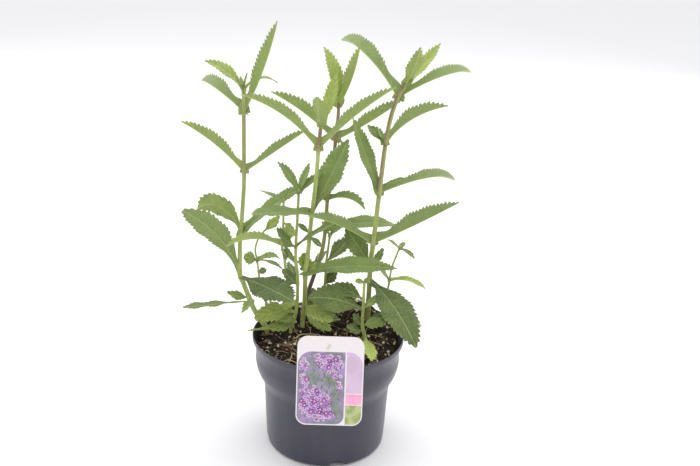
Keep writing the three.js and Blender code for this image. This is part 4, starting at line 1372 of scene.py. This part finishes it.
@dataclass(frozen=True)
class Field:
    """A box with rounded corners on the label.

    radii holds the radius of each corner, anticlockwise from the lower left one.
    """

    left: float
    right: float
    low: float
    high: float
    radii: tuple[float, float, float, float] = (0.0, 0.0, 0.0, 0.0)

    def corners(self) -> list[tuple[float, ...]]:
        """List the corners, anticlockwise from the lower left one.

        Returns:
            Each corner's place, the place of the middle of its rounding, its radius and its first angle.
        """
        left, right, low, high = self.left, self.right, self.low, self.high
        turns = ((left, low, 1, 1), (right, low, -1, 1), (right, high, -1, -1), (left, high, 1, -1))
        starts = (180, 270, 0, 90)
        return [(x, y, x + u * r, y + v * r, r, s) for (x, y, u, v), r, s in zip(turns, self.radii, starts)]

    def outline(self) -> np.ndarray:
        """Lay out its edge.

        Returns:
            The points of the outline.
        """
        points = []
        for _, _, x, y, radius, start in self.corners():
            for turn in np.radians(start + np.linspace(0, 90, 9 if radius else 1)):
                points.append((x + radius * math.cos(turn), y + radius * math.sin(turn)))
        return np.array(points)

    def holds(self, x: float, y: float, size: float) -> bool:
        """Say whether a motif would stay clear of its edge and of its rounded corners.

        Args:
            x: The middle of the motif.
            y: The height of its middle.
            size: The radius of the motif.

        Returns:
            Whether it stays clear.
        """
        clear = self.left + size + 0.6 < x < self.right - size - 0.6
        clear = clear and self.low + size + 1 < y < self.high - size - 1
        for corner_x, corner_y, middle_x, middle_y, radius, _ in self.corners():
            beyond = (x - middle_x) * (corner_x - middle_x) > 0 and (y - middle_y) * (corner_y - middle_y) > 0
            clear = clear and not (beyond and math.hypot(x - middle_x, y - middle_y) + size > radius - 0.5)
        return clear


@dataclass(frozen=True)
class Motif:
    """A small printed shape, by its middle, its radius and how far it is turned."""

    x: float
    y: float
    size: float
    turn: float = 0.0

    def rosette(self, petals: int) -> np.ndarray:
        """Outline a flower.

        Args:
            petals: How many round petals it has.

        Returns:
            The points of its outline.
        """
        angle = circle(petals * 8)
        reach = self.size * (0.62 + 0.38 * np.abs(np.cos(petals * angle / 2)) ** 0.8)
        angle = angle + self.turn
        return np.stack([self.x + reach * np.cos(angle), self.y + reach * np.sin(angle)], axis=-1)

    def sprig(self) -> np.ndarray:
        """Outline a pointed leaf.

        Returns:
            The points of its outline.
        """
        share = np.linspace(0, math.pi, 9)
        long, wide = self.size * np.cos(share), self.size * 0.3 * np.sin(share)
        u, v = np.concatenate([long, long[-2:0:-1]]), np.concatenate([wide, -wide[-2:0:-1]])
        c, s = math.cos(self.turn), math.sin(self.turn)
        return np.stack([self.x + u * c - v * s, self.y + u * s + v * c], axis=-1)


@dataclass(frozen=True)
class Label:
    """The print on the label's card: plain fields of colour and a scatter of rosettes and small leaves."""

    width: float = 70.0
    height: float = 96.0
    corner: float = 11.0
    thick: float = 1.0
    lean: float = 13.0
    centre_x: float = 3.3
    top: float = 36.5
    hinge_y: float = -85.5
    hinge_z: float = 133.0
    ink: float = 0.06
    inset: float = 1.2
    picture_top: float = 20.0
    picture_right: float = 15.5
    bar_left: float = 17.0
    motif_count: int = 220
    motif_pitch: float = 4.1
    motif_jitter: float = 1.1
    motif_sizes: tuple[float, float] = (1.6, 3.6)

    MOTIFS_A_ROW = 12
    LEAFY_BELOW = -0.45
    HEART = 0.34
    SUNK = -0.02
    SLOT_TILT = -32
    INKS = (Coat.MEADOW, Coat.LILAC, Coat.PINK, Coat.MOSS, Coat.VIOLET, Coat.BLOSSOM, Coat.SAND, Coat.LEAFY)

    def placed(self, flat: np.ndarray, above: float) -> np.ndarray:
        """Put points of the label's own plane in the plant's frame.

        Args:
            flat: Rows of x and y on the card, with y up from the lip.
            above: How far over the front of the card they lie.

        Returns:
            The points in the plant's frame.
        """
        z, (x, y) = self.thick + above, flat.T
        c, s = math.cos(math.radians(self.lean)), math.sin(math.radians(self.lean))
        deep, tall = self.hinge_y + y * s - z * c, self.hinge_z + y * c + z * s
        return np.stack([x + self.centre_x, deep, tall], axis=-1)

    def add_patch(self, draft: MeshDraft, outline: np.ndarray, ink: Coat, layer: int) -> None:
        """Add a thin patch of ink.

        Args:
            draft: The mesh that is being gathered.
            outline: The points of its edge, anticlockwise.
            ink: Its ink.
            layer: How many layers of ink its top lies over the card.
        """
        count = len(outline)
        points = np.vstack([self.placed(outline, self.SUNK), self.placed(outline, layer * self.ink)])
        ends = [tuple(range(count, 2 * count)), tuple(range(count - 1, -1, -1))]
        draft.add(points, ends + around(0, count, count), finish=self.INKS.index(ink))

    def add_motifs(self, draft: MeshDraft, picture: Field) -> None:
        """Scatter rosettes and small leaves over the picture field.

        Args:
            draft: The mesh that is being gathered.
            picture: The picture field.
        """
        rng, shake = np.random.default_rng(5), self.motif_jitter
        for number in range(self.motif_count):
            row, column = divmod(number, self.MOTIFS_A_ROW)
            x = picture.left + 3.0 + column * self.motif_pitch + (row % 2) * 2.0 + rng.uniform(-shake, shake)
            y = picture.low + 4 + row * self.motif_pitch + rng.uniform(-shake, shake)
            size = rng.uniform(*self.motif_sizes)
            if not picture.holds(x, y, size):
                continue
            if math.sin(x / 9.0 + y / 14.0) + 0.4 * math.sin(y / 6.0) < self.LEAFY_BELOW:
                self.add_patch(draft, Motif(x, y, size, rng.uniform(0.9, 2.2)).sprig(), Coat.LEAFY, 2)
                continue
            ink = (Coat.VIOLET, Coat.BLOSSOM, Coat.LILAC)[int(rng.integers(0, 3))]
            petals = int(rng.integers(5, 8))
            self.add_patch(draft, Motif(x, y, size, rng.uniform(0, 6)).rosette(petals), ink, 2)
            heart = Coat.PINK if ink is Coat.VIOLET else Coat.VIOLET
            self.add_patch(draft, Motif(x, y, size * self.HEART).rosette(5), heart, 3)

    def make(self) -> None:
        """Dress the card and make its print."""
        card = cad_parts["label"]
        card.data.materials.clear()
        card.data.materials.append(Coat.CARD.material)
        LOG.info("label: its own solid, in card")
        left, right = -self.width / 2 + self.inset, self.width / 2 - self.inset
        low, high = self.top - self.height + self.inset, self.picture_top
        bar, turned = self.bar_left, self.corner - self.inset
        picture = Field(left, self.picture_right, low, high, (turned, 9.0, 0.0, 14.0))
        draft = MeshDraft()
        for part, ink in (
            (picture, Coat.MEADOW),
            (Field(bar, right, low + 34, high, (0.0, 0.0, 14.0, 0.0)), Coat.LILAC),
            (Field(bar, right, low + 22, low + 33), Coat.PINK),
            (Field(bar, right, low, low + 21, (0.0, turned, 0.0, 0.0)), Coat.MOSS),
        ):
            self.add_patch(draft, part.outline(), ink, 1)
        self.add_motifs(draft, picture)
        slot = Field(-4.2, -0.6, 21.5, 29.0, (1.6, 1.6, 1.6, 1.6)).outline()
        middle = slot.mean(axis=0)
        tilt = np.array(Matrix.Rotation(math.radians(self.SLOT_TILT), 2))
        self.add_patch(draft, (slot - middle) @ tilt.T + middle, Coat.SAND, 1)
        settle(draft.make("label_print", list(self.INKS), 40.0), "label_card")


@dataclass(frozen=True)
class Studio:
    """A pale table in soft light from all round, and the camera.

    Each softbox has a name, a place and a size in metres, and a power in watts.
    """

    camera_place: Place = (0.0, -1007.0, 649.6)
    camera_pitch: float = 21.42
    camera_yaw: float = 1.13
    camera_roll: float = 2.31
    camera_lens: float = 51.43
    floor_size: float = 9000.0
    floor_drop: float = 0.3
    floor_steps: int = 24
    sky: float = 1.0
    aim: Place = (0.0, 0.0, 0.22)
    softboxes: tuple[tuple[str, Place, float, float], ...] = (
        ("top_softbox", (0.1, 0.1, 2.0), 1.6, 13.0),
        ("left_softbox", (-1.6, 1.0, 0.9), 1.6, 15.0),
        ("right_softbox", (1.6, 1.1, 0.9), 1.6, 15.0),
        ("front_softbox", (0.2, -2.0, 1.6), 1.4, 2.0),
    )

    def make_floor(self) -> None:
        """Make the flat table top."""
        steps = self.floor_steps
        line = np.linspace(-self.floor_size / 2, self.floor_size / 2, steps + 1)
        x, y = np.meshgrid(line, line)
        corners = [row * (steps + 1) + column for row in range(steps) for column in range(steps)]
        draft = MeshDraft()
        draft.add(
            np.stack([x, y, np.full_like(x, -self.floor_drop)], axis=-1),
            [(a, a + 1, a + steps + 2, a + steps + 1) for a in corners],
        )
        draft.make("table_top", [Coat.FLOOR])
        LOG.info("table_top: %d faces", len(corners))

    def make_camera(self) -> None:
        """Make the camera and hand it to the scene."""
        pitch, yaw, roll = (math.radians(a) for a in (self.camera_pitch, self.camera_yaw, self.camera_roll))
        forward = Vector((math.sin(yaw) * math.cos(pitch), math.cos(yaw) * math.cos(pitch), -math.sin(pitch)))
        right = forward.cross(Vector(UP)).normalized()
        up = right.cross(forward)
        turned_right = right * math.cos(roll) + up * math.sin(roll)
        turned_up = up * math.cos(roll) - right * math.sin(roll)
        matrix = Matrix((turned_right, turned_up, -forward)).transposed().to_4x4()
        matrix.translation = Vector(self.camera_place) * MILLIMETRE
        data = bpy.data.cameras.new("studio_camera")
        data.lens = self.camera_lens
        data.sensor_width = 36.0
        data.clip_start, data.clip_end = 0.05, 30.0
        camera = bpy.data.objects.new("studio_camera", data)
        camera.matrix_world = matrix
        bpy.context.scene.collection.objects.link(camera)
        bpy.context.scene.camera = camera

    def make_lights(self) -> None:
        """Make the square soft lights, which face the plant, and the white surroundings."""
        for name, place, size, power in self.softboxes:
            data = bpy.data.lights.new(name, "AREA")
            data.shape, data.size, data.energy = "SQUARE", size, power
            light = bpy.data.objects.new(name, data)
            light.visible_camera = False
            light.location = place
            light.rotation_mode = "QUATERNION"
            light.rotation_quaternion = (Vector(self.aim) - Vector(place)).to_track_quat("-Z", "Y")
            bpy.context.scene.collection.objects.link(light)
        world = bpy.data.worlds.new("studio")
        world.use_nodes = True
        background = world.node_tree.nodes["Background"]
        background.inputs["Color"].default_value = (1.0, 1.0, 1.0, 1.0)
        background.inputs["Strength"].default_value = self.sky
        bpy.context.scene.world = world
        bpy.context.scene.view_settings.view_transform = "Standard"

    def make(self) -> None:
        """Make the camera, the floor and the lights."""
        self.make_camera()
        self.make_floor()
        self.make_lights()


def main() -> None:
    """Build the studio, the pot, the soil, the label and the shoots."""
    logging.basicConfig(level=logging.INFO, format="%(message)s")
    pot = Pot()
    for part in (Studio(), pot, Soil(pot), Label(), *SHOOTS):
        part.make()


if __name__ == "__main__":
    main()
